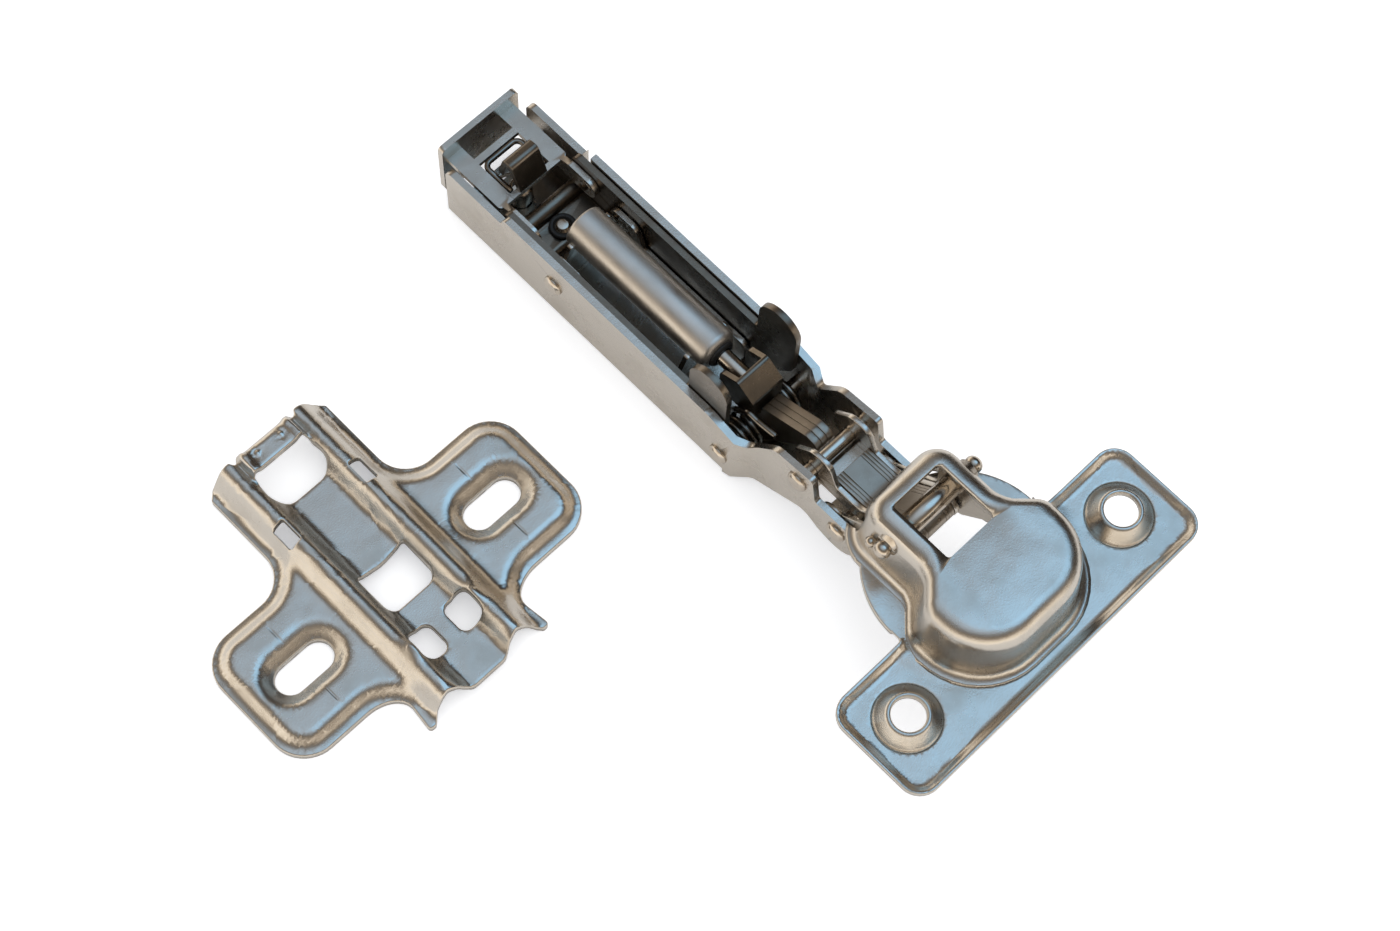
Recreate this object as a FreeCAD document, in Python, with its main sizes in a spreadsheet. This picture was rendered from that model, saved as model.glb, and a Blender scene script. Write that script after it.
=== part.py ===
import FreeCAD, Part
import math
import os

# Concealed cup hinge for cabinet doors, shown open, with its clip-on mounting plate beside it.
# Lengths are millimetres. Places are given from the cup's axis: +X runs from the arm to the
# flange, +Y along the flange's wings, +Z up from the surface that the arm's back lies on.
# Every body is then shifted so that the origin is under the middle of the whole part.

doc = FreeCAD.newDocument("CupHinge")
sheet = doc.addObject("Spreadsheet::Sheet", "Sizes")

SIZES = [
    ("lever_reach", 88.0, "cup axis to the back of the release lever"),
    ("flange_reach", 17.5, "cup axis to the flange's far edge"),
    ("end_sheet", 0.9, "thickness of the lever's end plate"),
    ("end_gap", 1.5, "end plate to the arm's rear edge"),
    ("shoulder_reach", 31.8, "cup axis to where the arm's walls draw in"),
    ("arm_half_width", 7.75, "middle to the arm's outer face"),
    ("arm_sheet", 1.0, "sheet of the outer arm"),
    ("arm_top", 13.05, "height of the arm's walls"),
    ("arm_rear_top", 11.5, "height of the walls behind the step"),
    ("arm_step", 13.5, "end plate to the step in the walls"),
    ("neck_half_width", 6.25, "middle to the neck's outer face"),
    ("neck_sheet", 0.9, "sheet of the neck"),
    ("neck_top", 17.4, "height of the neck's top edge"),
    ("finger_round", 3.5, "radius of the finger's tip"),
    ("carriage_gap", 0.15, "play between the carriage and the arm"),
    ("carriage_sheet", 0.9, "sheet of the carriage"),
    ("carriage_top", 12.4, "height of the carriage's walls"),
    ("ear_height", 20.5, "top of the carriage's ears"),
    ("ear_round", 3.3, "radius of the ears"),
    ("pin_radius", 1.0, "radius of every pin"),
    ("pin_play", 0.05, "radial play of a link on its pin"),
    ("head_radius", 1.5, "radius of a rivet head"),
    ("head_height", 0.6, "height of a rivet head"),
    ("inner_pivot_x", -22.19, "pin of the inner link"),
    ("inner_pivot_z", 13.93, "pin of the inner link"),
    ("outer_pivot_x", -15.05, "pin of the outer link"),
    ("outer_pivot_z", 9.72, "pin of the outer link"),
    ("window_pin_x", -6.88, "cup pin of the outer link"),
    ("window_pin_z", 22.33, "cup pin of the outer link"),
    ("rear_pin_x", -6.6, "cup pin of the inner link"),
    ("rear_pin_z", 18.77, "cup pin of the inner link"),
    ("rocker_pivot_x", -34.2, "pin of the rocker"),
    ("rocker_pivot_z", 4.5, "pin of the rocker"),
    ("open_pivot_play", 0.62, "play of the inner link on the rear cup pin"),
    ("flange_half_span", 25.8, "middle to the end of a flange wing"),
    ("wing_start", 1.7, "cup axis to the wings' near edge"),
    ("flange_radius", 12.6, "radius of the flange round the cup"),
    ("flange_under", 14.4, "height of the flange's lower face"),
    ("cup_sheet", 0.9, "sheet of the cup and its flange"),
    ("lip_height", 1.0, "height of the lip round the wings"),
    ("lip_width", 0.9, "width of the lip round the wings"),
    ("wing_corner", 3.0, "corner radius of the wings"),
    ("cup_top", 25.0, "height of the cup's closed bottom"),
    ("cup_reach", 13.4, "cup axis to the cup's far wall"),
    ("cup_half_width", 11.2, "middle to the cup's wide wall"),
    ("cup_neck_reach", 12.5, "cup axis to the end of the cup's neck"),
    ("cup_neck_half", 7.3, "middle to the outer face of the cup's neck"),
    ("cup_taper", 1.0, "how far the walls lean in towards the top"),
    ("cup_edge", 2.2, "radius round the cup's top"),
    ("cup_inner_edge", 0.8, "radius inside the cup's top"),
    ("cup_lug_sheet", 0.5, "sheet of the lugs bent down from the cup's window"),
    ("window_near", -9.4, "near edge of the window in the cup"),
    ("window_far", 0.0, "far edge of the window in the cup"),
    ("window_half", 4.0, "half width of the window in the cup"),
    ("cup_screw_pitch", 38.0, "distance between the cup's screw holes"),
    ("cup_screw_x", 8.93, "cup axis to the line of the screw holes"),
    ("cup_screw_radius", 2.2, "radius of the cup's screw holes"),
    ("cone_radius", 4.2, "radius of the pressed cone"),
    ("cone_height", 1.9, "height of the pressed cone"),
    ("link_ear_inner", 3.05, "middle to the inner face of the inner link's ears"),
    ("link_ear_sheet", 0.7, "sheet of the inner link's ears"),
    ("link_plate", 0.44, "thickness of a plate of the inner link"),
    ("link_plate_gap", 0.03, "gap between the plates of the inner link"),
    ("link_core_half", 1.55, "half width of the inner link's core"),
    ("outer_link_half", 5.15, "middle to the outer face of the outer link"),
    ("outer_link_sheet", 0.57, "sheet of the outer link's side strips"),
    ("outer_link_web", 1.17, "depth of the outer link's web under its lower pin"),
    ("rocker_half", 1.5, "half width of the rocker's plates together"),
    ("rocker_gap", 0.04, "gap between the rocker's plates"),
    ("damper_rear", 67.7, "cup axis to the rear of the damper"),
    ("damper_length", 25.6, "length of the damper's can"),
    ("damper_radius", 3.05, "radius of the damper's can"),
    ("damper_axis_z", 11.3, "height of the damper's axis"),
    ("damper_wall", 0.5, "wall of the damper's can"),
    ("rod_radius", 1.2, "radius of the damper's rod"),
    ("seal_length", 0.5, "length of the seal at the rod"),
    ("piston_back", 9.0, "front of the can to the back of the piston"),
    ("piston_length", 3.0, "length of the piston"),
    ("bracket_half", 2.7, "half width of the pusher bracket"),
    ("bracket_gap", 2.05, "seal to the pusher bracket while the door is open"),
    ("bracket_sheet", 0.7, "sheet of the pusher bracket"),
    ("bracket_front", 33.55, "cup axis to the front of the pusher bracket"),
    ("spring_wire", 0.9, "wire of the closing spring"),
    ("spring_mean", 2.5, "mean radius of the closing spring"),
    ("spring_start", 2.1, "middle to the first turn of the closing spring"),
    ("side_screw_x", -71.4, "axis of the side adjusting screw"),
    ("side_screw_radius", 1.25, "radius of the side adjusting screw's stem"),
    ("side_screw_head", 2.3, "radius of the side adjusting screw's head"),
    ("depth_screw_x", -79.6, "axis of the depth adjusting screw"),
    ("depth_screw_radius", 1.6, "radius of the depth adjusting screw's stem"),
    ("depth_screw_head", 2.6, "radius of the depth adjusting screw's head"),
    ("depth_travel_back", 2.0, "travel of the carriage to the rear"),
    ("depth_travel_front", 0.2, "travel of the carriage to the front"),
    ("lever_half_width", 6.77, "half width of the lever's end plate"),
    ("lever_frame_half", 6.0, "half width of the lever's frame"),
    ("lever_frame_top", 10.4, "height of the lever's frame"),
    ("lever_sheet", 0.8, "sheet of the lever's frame"),
    ("lever_top", 13.15, "height of the lever's end plate"),
    ("lever_foot", 2.0, "height of the end plate's lower edge"),
    ("lever_pivot_x", -72.0, "axis of the release lever"),
    ("lever_pivot_z", 9.4, "axis of the release lever"),
    ("catch_wire", 0.4, "radius of the catch spring's wire"),
    ("plate_x", -50.3, "middle of the mounting plate"),
    ("plate_y", -48.6, "middle of the mounting plate"),
    ("plate_half_span", 25.3, "middle of the plate to the end of a wing"),
    ("plate_wing_half", 10.0, "half width of the plate's wings"),
    ("plate_body_half", 9.75, "half width of the plate's body"),
    ("plate_rear", 26.0, "middle of the plate to its rear end"),
    ("plate_front", 17.0, "middle of the plate to its front end"),
    ("plate_sheet", 1.1, "sheet of the mounting plate"),
    ("plate_rim", 1.3, "width of the flat rim round the plate"),
    ("plate_rise", 1.5, "height of the plate's raised field above its rim"),
    ("plate_screw_pitch", 32.0, "distance between the plate's slots"),
    ("slot_length", 8.6, "length of a slot"),
    ("slot_radius", 2.1, "half width of a slot"),
    ("rail_offset", 5.5, "middle of the plate to the crest of a rail"),
    ("rail_height", 5.0, "height of the rails"),
    ("rail_half", 2.6, "half width of a rail at its foot"),
]
for row, (alias, value, note) in enumerate(SIZES, start=1):
    sheet.set(f"A{row}", alias)
    sheet.set(f"B{row}", str(value))
    sheet.set(f"C{row}", note)
    sheet.setAlias(f"B{row}", alias)
doc.recompute()

SHIFT_X = "(Sizes.lever_reach - Sizes.flange_reach) / 2"
SHIFT_Y = "(Sizes.plate_half_span - Sizes.plate_y - Sizes.flange_half_span) / 2"
JOIN = 0.02
PARTS = []


def size(alias):
    return float(sheet.get(alias))


shift = FreeCAD.Vector(
    (size("lever_reach") - size("flange_reach")) / 2,
    (size("plate_half_span") - size("plate_y") - size("flange_half_span")) / 2,
    0,
)


def vec(x, y, z=0.0):
    return FreeCAD.Vector(x, y, z)


def place(part, x="0", y="0", z="0"):
    """Shifts a part into the hinge's frame, from the cup axis."""
    part.setExpression("Placement.Base.x", f"{SHIFT_X} + {x}")
    part.setExpression("Placement.Base.y", f"{SHIFT_Y} + {y}")
    part.setExpression("Placement.Base.z", z)


def new_body(label, x="0", y="0", z="0"):
    body = doc.addObject("PartDesign::Body", label)
    body.Label = label
    place(body, x, y, z)
    PARTS.append(body)
    return body


def corner_arc(before, corner, after, radius):
    """Start, middle and end of the arc that rounds a corner."""
    to_before = (before - corner).normalize()
    to_after = (after - corner).normalize()
    half = to_before.getAngle(to_after) / 2
    bisector = (to_before + to_after).normalize()
    start = corner + to_before * (radius / math.tan(half))
    end = corner + to_after * (radius / math.tan(half))
    middle = corner + bisector * (radius / math.sin(half) - radius)
    return start, middle, end


def rounded(points):
    """Closed outline of straight runs; a point's third number is the radius of its corner."""
    corners = [vec(p[0], p[1]) for p in points]
    ends = []
    for i, point in enumerate(points):
        if len(point) > 2:
            ends.append(corner_arc(corners[i - 1], corners[i], corners[(i + 1) % len(points)], point[2]))
        else:
            ends.append((corners[i], None, corners[i]))
    edges = []
    for i, (start, middle, end) in enumerate(ends):
        if middle is not None:
            edges.append(Part.Arc(start, middle, end))
        following = ends[(i + 1) % len(ends)][0]
        if (following - end).Length > 1e-4:
            edges.append(Part.LineSegment(end, following))
    return edges


def chamfered(points):
    """Closed outline of straight runs; a point's third number is the leg of its chamfer."""
    corners = [vec(p[0], p[1]) for p in points]
    ends = []
    for i, point in enumerate(points):
        if len(point) > 2:
            ends.append(corners[i] + (corners[i - 1] - corners[i]).normalize() * point[2])
            ends.append(corners[i] + (corners[(i + 1) % len(points)] - corners[i]).normalize() * point[2])
        else:
            ends.append(corners[i])
    return [Part.LineSegment(a, b) for a, b in zip(ends, ends[1:] + ends[:1])]


def circle(x, y, radius):
    return [Part.Circle(vec(x, y), vec(0, 0, 1), radius)]


def mirrored_points(points):
    """The outline above the X axis, followed by its mirror image below it."""
    below = [(p[0], -p[1]) + tuple(p[2:]) for p in reversed(points)]
    return list(points) + below


def sketch(body, name, plane, outlines, offset="0"):
    """A sketch on one of the body's own planes, moved along that plane's normal."""
    drawn = body.newObject("Sketcher::SketchObject", name)
    origin_plane = [f for f in body.Origin.OriginFeatures if f.Role == plane][0]
    drawn.AttachmentSupport = (origin_plane, [""])
    drawn.MapMode = "FlatFace"
    drawn.setExpression("AttachmentOffset.Base.z", offset)
    for edges in outlines:
        for edge in edges:
            drawn.addGeometry(edge)
    return drawn


def extrude(body, kind, name, profile, length, side="One side", up=False):
    feature = body.newObject(f"PartDesign::{kind}", name)
    feature.Profile = profile
    feature.Type = "Length"
    feature.SideType = side
    feature.setExpression("Length", length)
    feature.Reversed = up
    body.Tip = feature
    return feature


def pad(body, name, plane, outlines, length, offset="0", side="One side", down=False):
    profile = sketch(body, name + "Sketch", plane, outlines, offset)
    return extrude(body, "Pad", name, profile, length, side, down)


def pocket(body, name, plane, outlines, length, offset="0", side="One side", up=False):
    profile = sketch(body, name + "Sketch", plane, outlines, offset)
    return extrude(body, "Pocket", name, profile, length, side, up)


def edges_of(shape, test):
    """Names of the edges whose middle and ends all pass a test."""
    names = []
    for i, edge in enumerate(shape.Edges, start=1):
        middle = edge.valueAt((edge.FirstParameter + edge.LastParameter) / 2)
        if all(test(p) for p in [middle] + [v.Point for v in edge.Vertexes]):
            names.append(f"Edge{i}")
    return names


def fillet(body, name, base, radius, test):
    doc.recompute()
    feature = body.newObject("PartDesign::Fillet", name)
    feature.Base = (base, edges_of(base.Shape, test))
    feature.setExpression("Radius", radius)
    body.Tip = feature
    return feature


def lathe(body, name, plane, outline, axis="V_Axis", kind="Revolution", offset="0"):
    """A turned form about the sketch's own axis."""
    profile = sketch(body, name + "Sketch", plane, [outline], offset)
    feature = body.newObject(f"PartDesign::{kind}", name)
    feature.Profile = profile
    feature.ReferenceAxis = (profile, [axis])
    feature.Angle = 360
    body.Tip = feature
    return feature


def mirror(body, name, features, plane="XZ_Plane"):
    origin_plane = [f for f in body.Origin.OriginFeatures if f.Role == plane][0]
    feature = body.newObject("PartDesign::Mirrored", name)
    feature.Originals = features
    feature.MirrorPlane = (origin_plane, [""])
    body.Tip = feature
    return feature


def solid_group(label, solids):
    """Loose solids or a swept form that Part's own functions make."""
    part = doc.addObject("Part::Feature", label)
    part.Label = label
    part.Shape = solids[0] if len(solids) == 1 else Part.makeCompound(solids)
    part.Placement = FreeCAD.Placement(shift, FreeCAD.Rotation())
    place(part)
    PARTS.append(part)
    return part


# Heights and places that several pieces share

arm_rear = -(size("lever_reach") - size("end_sheet") - size("end_gap"))
shoulder = -size("shoulder_reach")
arm_inner = size("arm_half_width") - size("arm_sheet")
carriage_half = arm_inner - size("carriage_gap")
carriage_inner = carriage_half - size("carriage_sheet")
carriage_floor = size("arm_sheet") + size("carriage_gap")
carriage_floor_top = carriage_floor + size("carriage_sheet")
neck_inner = size("neck_half_width") - size("neck_sheet")
pin = size("pin_radius")
inner_pivot = (size("inner_pivot_x"), size("inner_pivot_z"))
outer_pivot = (size("outer_pivot_x"), size("outer_pivot_z"))
window_pin = (size("window_pin_x"), size("window_pin_z"))
rear_pin = (size("rear_pin_x"), size("rear_pin_z"))
rocker_pivot = (size("rocker_pivot_x"), size("rocker_pivot_z"))
side_screw_x = size("side_screw_x")
depth_screw_x = size("depth_screw_x")
cradle_rivet = (-size("damper_rear") + 2.7, 8.0)
travel_back = size("depth_travel_back")
travel_front = size("depth_travel_front")


def slot_outline(x, y, radius, back, front):
    """A slot along X round a hole's middle, longer by its travel back and front."""
    return rounded([
        (x - radius - back, y - radius, radius - 0.001),
        (x + radius + front, y - radius, radius - 0.001),
        (x + radius + front, y + radius, radius - 0.001),
        (x - radius - back, y + radius, radius - 0.001),
    ])


def fold_corners(half, low, radius):
    """What lies outside the rounded lower folds of a channel, on both sides."""
    outlines = []
    for sign in (1, -1):
        points = [
            (half + 1, low - 1), (half + 1, low + radius + 0.5), (half, low + radius + 0.5),
            (half, low, radius), (half - radius - 0.5, low), (half - radius - 0.5, low - 1),
        ]
        outlines.append(rounded([(sign * p[0],) + tuple(p[1:]) for p in points]))
    return outlines


# Outer arm: one folded sheet, a channel whose walls draw in to two fingers


def outer_arm():
    body = new_body("outer_arm")
    top = size("arm_top")
    rear_top = size("arm_rear_top")
    step = -size("lever_reach") + size("arm_step")
    tip = size("finger_round")
    x2, z2 = outer_pivot
    finger_top = z2 + tip - 0.6
    finger_bottom = z2 - tip - 0.9
    neck_front = inner_pivot[0] + 2.2
    slope_start = (shoulder - 1.6, 0, 3.0)
    slope_end = (x2 - 5.4, z2 - 2.2, 2.5)
    side = rounded([
        (arm_rear, 0),
        slope_start,
        slope_end,
        (x2 - 3.0, finger_bottom + 0.6, 1.6),
        (x2 - 0.8, finger_bottom, 2.0),
        (x2 + tip, finger_bottom, tip - 0.01),
        (x2 + tip, finger_top, tip - 0.6),
        (neck_front + 0.9, finger_top, 0.6),
        (neck_front + 0.1, size("neck_top"), 0.7),
        (neck_front - 6.5, size("neck_top") - 0.9, 2.4),
        (shoulder + 1.6, top - 1.8, 1.2),
        (shoulder - 5.0, top, 4.0),
        (step, top, 0.8),
        (step - 0.3, rear_top, 0.3),
        (arm_rear, rear_top, 1.2),
    ])
    pad(body, "ArmBlank", "XZ_Plane", [side], "2 * Sizes.arm_half_width", side="Symmetric")
    pocket(body, "ArmFolds", "YZ_Plane", fold_corners(size("arm_half_width"), 0, 1.2), "80",
           offset=str(shoulder - 1.5))
    hollow = mirrored_points([
        (arm_rear - 1, arm_inner),
        (shoulder - 0.5, arm_inner, 1.2),
        (shoulder + 2.1, neck_inner, 1.2),
        (x2 + tip + 1, neck_inner),
    ])
    pocket(body, "ArmHollow", "XY_Plane", [rounded(hollow)], "Sizes.neck_top + 2",
           offset="Sizes.arm_sheet", up=True)
    neck_web(body, slope_start, slope_end)
    outside = size("arm_half_width") + 1
    neck = [
        (shoulder - 1.2, outside),
        (shoulder - 0.2, size("arm_half_width") + 0.1),
        (shoulder + 2.4, size("neck_half_width"), 2.0),
        (x2 + tip + 1, size("neck_half_width")),
        (x2 + tip + 1, outside),
    ]
    below = [(p[0], -p[1]) + tuple(p[2:]) for p in neck]
    pocket(body, "NeckSides", "XY_Plane", [rounded(neck), rounded(below)],
           "Sizes.neck_top + 2", side="Symmetric").Type = "ThroughAll"
    holes = [circle(*inner_pivot, pin + JOIN), circle(*outer_pivot, pin + JOIN),
             circle(*rocker_pivot, pin + JOIN), circle(*cradle_rivet, pin + JOIN)]
    pocket(body, "PinHoles", "XZ_Plane", holes, "2 * Sizes.arm_half_width + 2", side="Symmetric")
    web_holes = [
        slot_outline(side_screw_x, 0, size("side_screw_head") + 0.35, travel_back, travel_front),
        slot_outline(depth_screw_x, 0, size("depth_screw_head") + 0.35, travel_back, travel_front),
    ]
    pocket(body, "ScrewSlots", "XY_Plane", web_holes, "3 * Sizes.arm_sheet", side="Symmetric")
    gap = rounded([
        (step - 0.1, rear_top - 2.6, 0.4),
        (step + 1.3, rear_top - 2.6, 0.4),
        (step + 1.3, top + 1),
        (step - 0.1, top + 1),
    ])
    pocket(body, "TabGap", "XZ_Plane", [gap], "Sizes.arm_half_width", offset="-Sizes.arm_half_width / 2")
    return body


def neck_web(body, start, end):
    """The channel's floor, rising under the neck as far as the inner link's pin."""
    run = vec(end[0] - start[0], end[1] - start[1]).normalize()
    sheet_t = size("arm_sheet")
    front = vec(start[0], start[1]) + run * ((inner_pivot[0] + 0.7 - start[0]) / run.x)
    upper = front + vec(-run.y, run.x) * sheet_t
    fold = start[0] - sheet_t * math.tan(run.getAngle(vec(1, 0)) / 2)
    web = rounded([
        (start[0] - 3.0, 0), start, (front.x, front.y), (upper.x, upper.y), (fold, sheet_t, start[2] - sheet_t),
        (start[0] - 3.0, sheet_t),
    ])
    pad(body, "NeckWeb", "XZ_Plane", [web], f"2 * {arm_inner + 0.2}", side="Symmetric")


# Carriage: the inner channel that clips to the mounting plate and carries lever and screws


def carriage():
    body = new_body("carriage")
    floor = carriage_floor
    top = size("carriage_top")
    rear = arm_rear + travel_back + 0.3
    low_top = 7.5
    low_end = size("lever_pivot_x") - 3.5
    ear = size("ear_round")
    ear_front = shoulder - 2.8
    ear_top = size("ear_height")
    side = rounded([
        (rear, floor, 0.5),
        (ear_front - 9.4, floor, 1.5),
        (ear_front - 3.0, 4.6, 1.5),
        (ear_front, 9.0, 1.5),
        (ear_front, ear_top, ear - 0.01),
        (ear_front - 2 * ear, ear_top, ear - 0.01),
        (ear_front - 2 * ear, top, 0.6),
        (low_end, top, 1.0),
        (low_end, low_top, 0.6),
        (rear, low_top, 1.0),
    ])
    pad(body, "CarriageBlank", "XZ_Plane", [side],
        "2 * (Sizes.arm_half_width - Sizes.arm_sheet - Sizes.carriage_gap)", side="Symmetric")
    hollow = mirrored_points([(rear - 1, carriage_inner), (ear_front + 1, carriage_inner)])
    pocket(body, "CarriageHollow", "XY_Plane", [rounded(hollow)], "Sizes.ear_height",
           offset="Sizes.arm_sheet + Sizes.carriage_gap + Sizes.carriage_sheet", up=True)
    x, z = cradle_rivet
    slot = slot_outline(x, z, pin + 0.15, travel_front, travel_back)
    lever_hole = circle(size("lever_pivot_x"), size("lever_pivot_z"), pin + JOIN)
    pocket(body, "WallHoles", "XZ_Plane", [slot, lever_hole], "2 * Sizes.arm_half_width", side="Symmetric")
    web_holes = [
        circle(side_screw_x, 0, size("side_screw_head") + 0.15),
        circle(depth_screw_x, 0, size("depth_screw_radius") + 0.08),
    ]
    pocket(body, "WebHoles", "XY_Plane", web_holes, "6 * Sizes.arm_sheet", side="Symmetric")
    return body


# Screw saddle: a formed strip across the carriage, with the side screw's hole and a rolled hump


def screw_saddle():
    body = new_body("screw_saddle")
    flat = 4.2
    sheet_t = size("carriage_sheet")
    front = side_screw_x + size("side_screw_head") + 0.2
    rear = side_screw_x - 4.4
    floor = carriage_floor_top
    side = rounded([
        (rear, floor),
        (rear, flat + 2.4, 1.2),
        (rear + 2.4, flat + 2.4, 1.2),
        (rear + 2.4, flat + sheet_t, 0.3),
        (front, flat + sheet_t, 1.0),
        (front, floor),
        (front - sheet_t, floor),
        (front - sheet_t, flat, 0.3),
        (rear + 2.4 - sheet_t, flat, 0.8),
        (rear + 2.4 - sheet_t, flat + 2.4 - sheet_t, 0.25),
        (rear + sheet_t, flat + 2.4 - sheet_t, 0.25),
        (rear + sheet_t, floor),
    ])
    pad(body, "SaddleStrip", "XZ_Plane", [side],
        "2 * (Sizes.arm_half_width - Sizes.arm_sheet - Sizes.carriage_gap - Sizes.carriage_sheet) - 0.04",
        side="Symmetric")
    pocket(body, "SaddleHole", "XY_Plane", [circle(side_screw_x, 0, size("side_screw_radius") + 0.08)],
           "3 * Sizes.arm_top", side="Symmetric")
    return body


def turned_z(label, x, outline, z="0"):
    body = new_body(label, x=x, z=z)
    lathe(body, label + "_turned", "XZ_Plane", chamfered(outline))
    return body


# Side adjusting screw, with its head in the arm's slot and its peened end above the saddle


def side_screw():
    stem = size("side_screw_radius")
    head = size("side_screw_head")
    flat_top = 4.2 + size("carriage_sheet")
    body = turned_z("side_screw", "Sizes.side_screw_x", [
        (0, 0.2),
        (head, 0.2, 0.3),
        (head, 1.9, 0.2),
        (stem, 1.9),
        (stem, flat_top + 0.9, 0.5),
        (0, flat_top + 0.9),
    ])
    recess(body, 0.2, 1.1, head * 0.62)
    ring = turned_z("screw_ring", "Sizes.side_screw_x", [
        (stem + JOIN, flat_top + 0.05, 0.15),
        (1.9, flat_top + 0.05, 0.2),
        (1.9, flat_top + 0.6, 0.2),
        (stem + JOIN, flat_top + 0.6, 0.15),
    ])
    return body, ring


def recess(body, low, depth, reach):
    """Cross recess in a screw head that faces down."""
    half = 0.4
    cross = rounded([
        (-reach, -half), (-half, -half), (-half, -reach), (half, -reach),
        (half, -half), (reach, -half), (reach, half), (half, half),
        (half, reach), (-half, reach), (-half, half), (-reach, half),
    ])
    pocket(body, "CrossRecess", "XY_Plane", [cross], str(depth), offset=str(low), up=True)


# Depth adjusting screw, whose turn moves the carriage along the arm


def depth_screw():
    stem = size("depth_screw_radius")
    head = size("depth_screw_head")
    body = turned_z("depth_screw", "Sizes.depth_screw_x", [
        (0, 0.2),
        (head, 0.2, 0.3),
        (head, size("arm_sheet"), 0.1),
        (stem, size("arm_sheet")),
        (stem, 5.6, 0.4),
        (0, 5.6),
    ])
    recess(body, 0.2, 1.1, head * 0.62)
    return body


# Release lever: end plate, frame with two windows, and two arms to its pivot


def release_lever():
    body = new_body("release_lever")
    back = -size("lever_reach")
    inner = back + size("end_sheet")
    half = size("lever_frame_half")
    front = back + 11.2
    frame_bottom = "Sizes.lever_frame_top - Sizes.lever_sheet"
    wide = rounded([
        (-size("lever_half_width"), size("lever_foot"), 1.5),
        (size("lever_half_width"), size("lever_foot"), 1.5),
        (size("lever_half_width"), size("lever_top"), 0.8),
        (-size("lever_half_width"), size("lever_top"), 0.8),
    ])
    pad(body, "EndPlate", "YZ_Plane", [wide], "Sizes.end_sheet", offset="-Sizes.lever_reach")
    frame = rounded([
        (inner - 0.2, -half), (front, -half, 0.6), (front, half, 0.6), (inner - 0.2, half),
    ])
    pad(body, "Frame", "XY_Plane", [frame], "Sizes.lever_sheet", offset=frame_bottom)
    x, z = size("lever_pivot_x"), size("lever_pivot_z")
    arm_side = rounded([
        (front - 4, z - 1.0, 0.3),
        (x - 1.6, z - 1.7, 1.4),
        (x + 1.7, z - 1.7, 1.6),
        (x + 1.7, z + 1.7, 1.6),
        (front + 1.5, z + 1.7, 0.8),
        (front - 0.4, size("lever_frame_top") - 0.02),
        (front - 4, size("lever_frame_top") - 0.02),
    ])
    pad(body, "ArmsWide", "XZ_Plane", [arm_side], f"2 * {carriage_inner - 0.12}", side="Symmetric")
    between = carriage_inner - 0.95
    below = rounded([(front - 4.5, -between), (x + 3, -between), (x + 3, between), (front - 4.5, between)])
    pocket(body, "ArmsBelow", "XY_Plane", [below], "3.4 + Sizes.lever_frame_top - Sizes.lever_sheet - "
           "Sizes.lever_pivot_z", offset="Sizes.lever_pivot_z - 3.4", up=True)
    pocket(body, "ArmsAbove", "XY_Plane", [below], "4", offset="Sizes.lever_frame_top", up=True)
    ahead = rounded([(front, -between), (x + 3, -between), (x + 3, between), (front, between)])
    pocket(body, "ArmsAhead", "XY_Plane", [ahead], "8", offset="Sizes.lever_pivot_z - 3.4", up=True)
    windows = [
        rounded([(inner, -3.45), (back + 3.3, -3.45), (back + 3.3, 3.45), (inner, 3.45)]),
        rounded([(back + 4.3, -3.5), (front - 0.9, -3.5), (front - 0.9, 3.5), (back + 4.3, 3.5)]),
    ]
    pocket(body, "Windows", "XY_Plane", windows, "6 * Sizes.lever_sheet", side="Symmetric",
           offset=frame_bottom)
    pocket(body, "PivotHoles", "XZ_Plane", [circle(x, z, pin + size("pin_play"))],
           "2 * Sizes.arm_half_width", side="Symmetric")
    return body


# Catch: the folded hook on the lever's front strip


def catch_hook():
    body = new_body("catch_hook")
    front = -size("lever_reach") + 11.2
    base = size("lever_frame_top")
    side = rounded([
        (front, base),
        (front - 1.7, base + 4.7, 0.8),
        (front - 3.4, base + 4.3, 0.8),
        (front - 4.4, base + 0.2),
        (front - 3.5, base),
        (front - 2.8, base + 3.2, 0.4),
        (front - 2.2, base + 3.4, 0.4),
        (front - 0.9, base),
    ])
    pad(body, "HookSheet", "XZ_Plane", [side], "4.8", side="Symmetric")
    return body


# Catch spring: a wire bow behind the catch


def catch_spring():
    radius = size("catch_wire")
    x0 = -size("lever_reach") + 4.3 + radius + 0.05
    z0 = size("lever_frame_top") - size("lever_sheet") / 2
    half = 2.98
    corners = [vec(x0 + 5.2, -half, z0), vec(x0, -half, z0), vec(x0, half, z0), vec(x0 + 5.2, half, z0)]
    return solid_group("catch_spring", [wire_along(corners, radius, 1.0)])


def wire_path(points, bend):
    """Straight runs joined by tangent arcs of one radius."""
    edges = []
    start = points[0]
    for i in range(1, len(points) - 1):
        a, m, b = corner_arc(points[i - 1], points[i], points[i + 1], bend)
        edges.append(Part.LineSegment(start, a).toShape())
        edges.append(Part.Arc(a, m, b).toShape())
        start = b
    edges.append(Part.LineSegment(start, points[-1]).toShape())
    return Part.Wire(edges)


def wire_along(points, radius, bend):
    """A round wire along a path."""
    path = wire_path(points, bend)
    direction = (points[1] - points[0]).normalize()
    section = Part.Wire([Part.Circle(points[0], direction, radius).toShape()])
    return path.makePipeShell([section], True, False)


# Damper: cradle, can, seal, and rod with its piston


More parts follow.
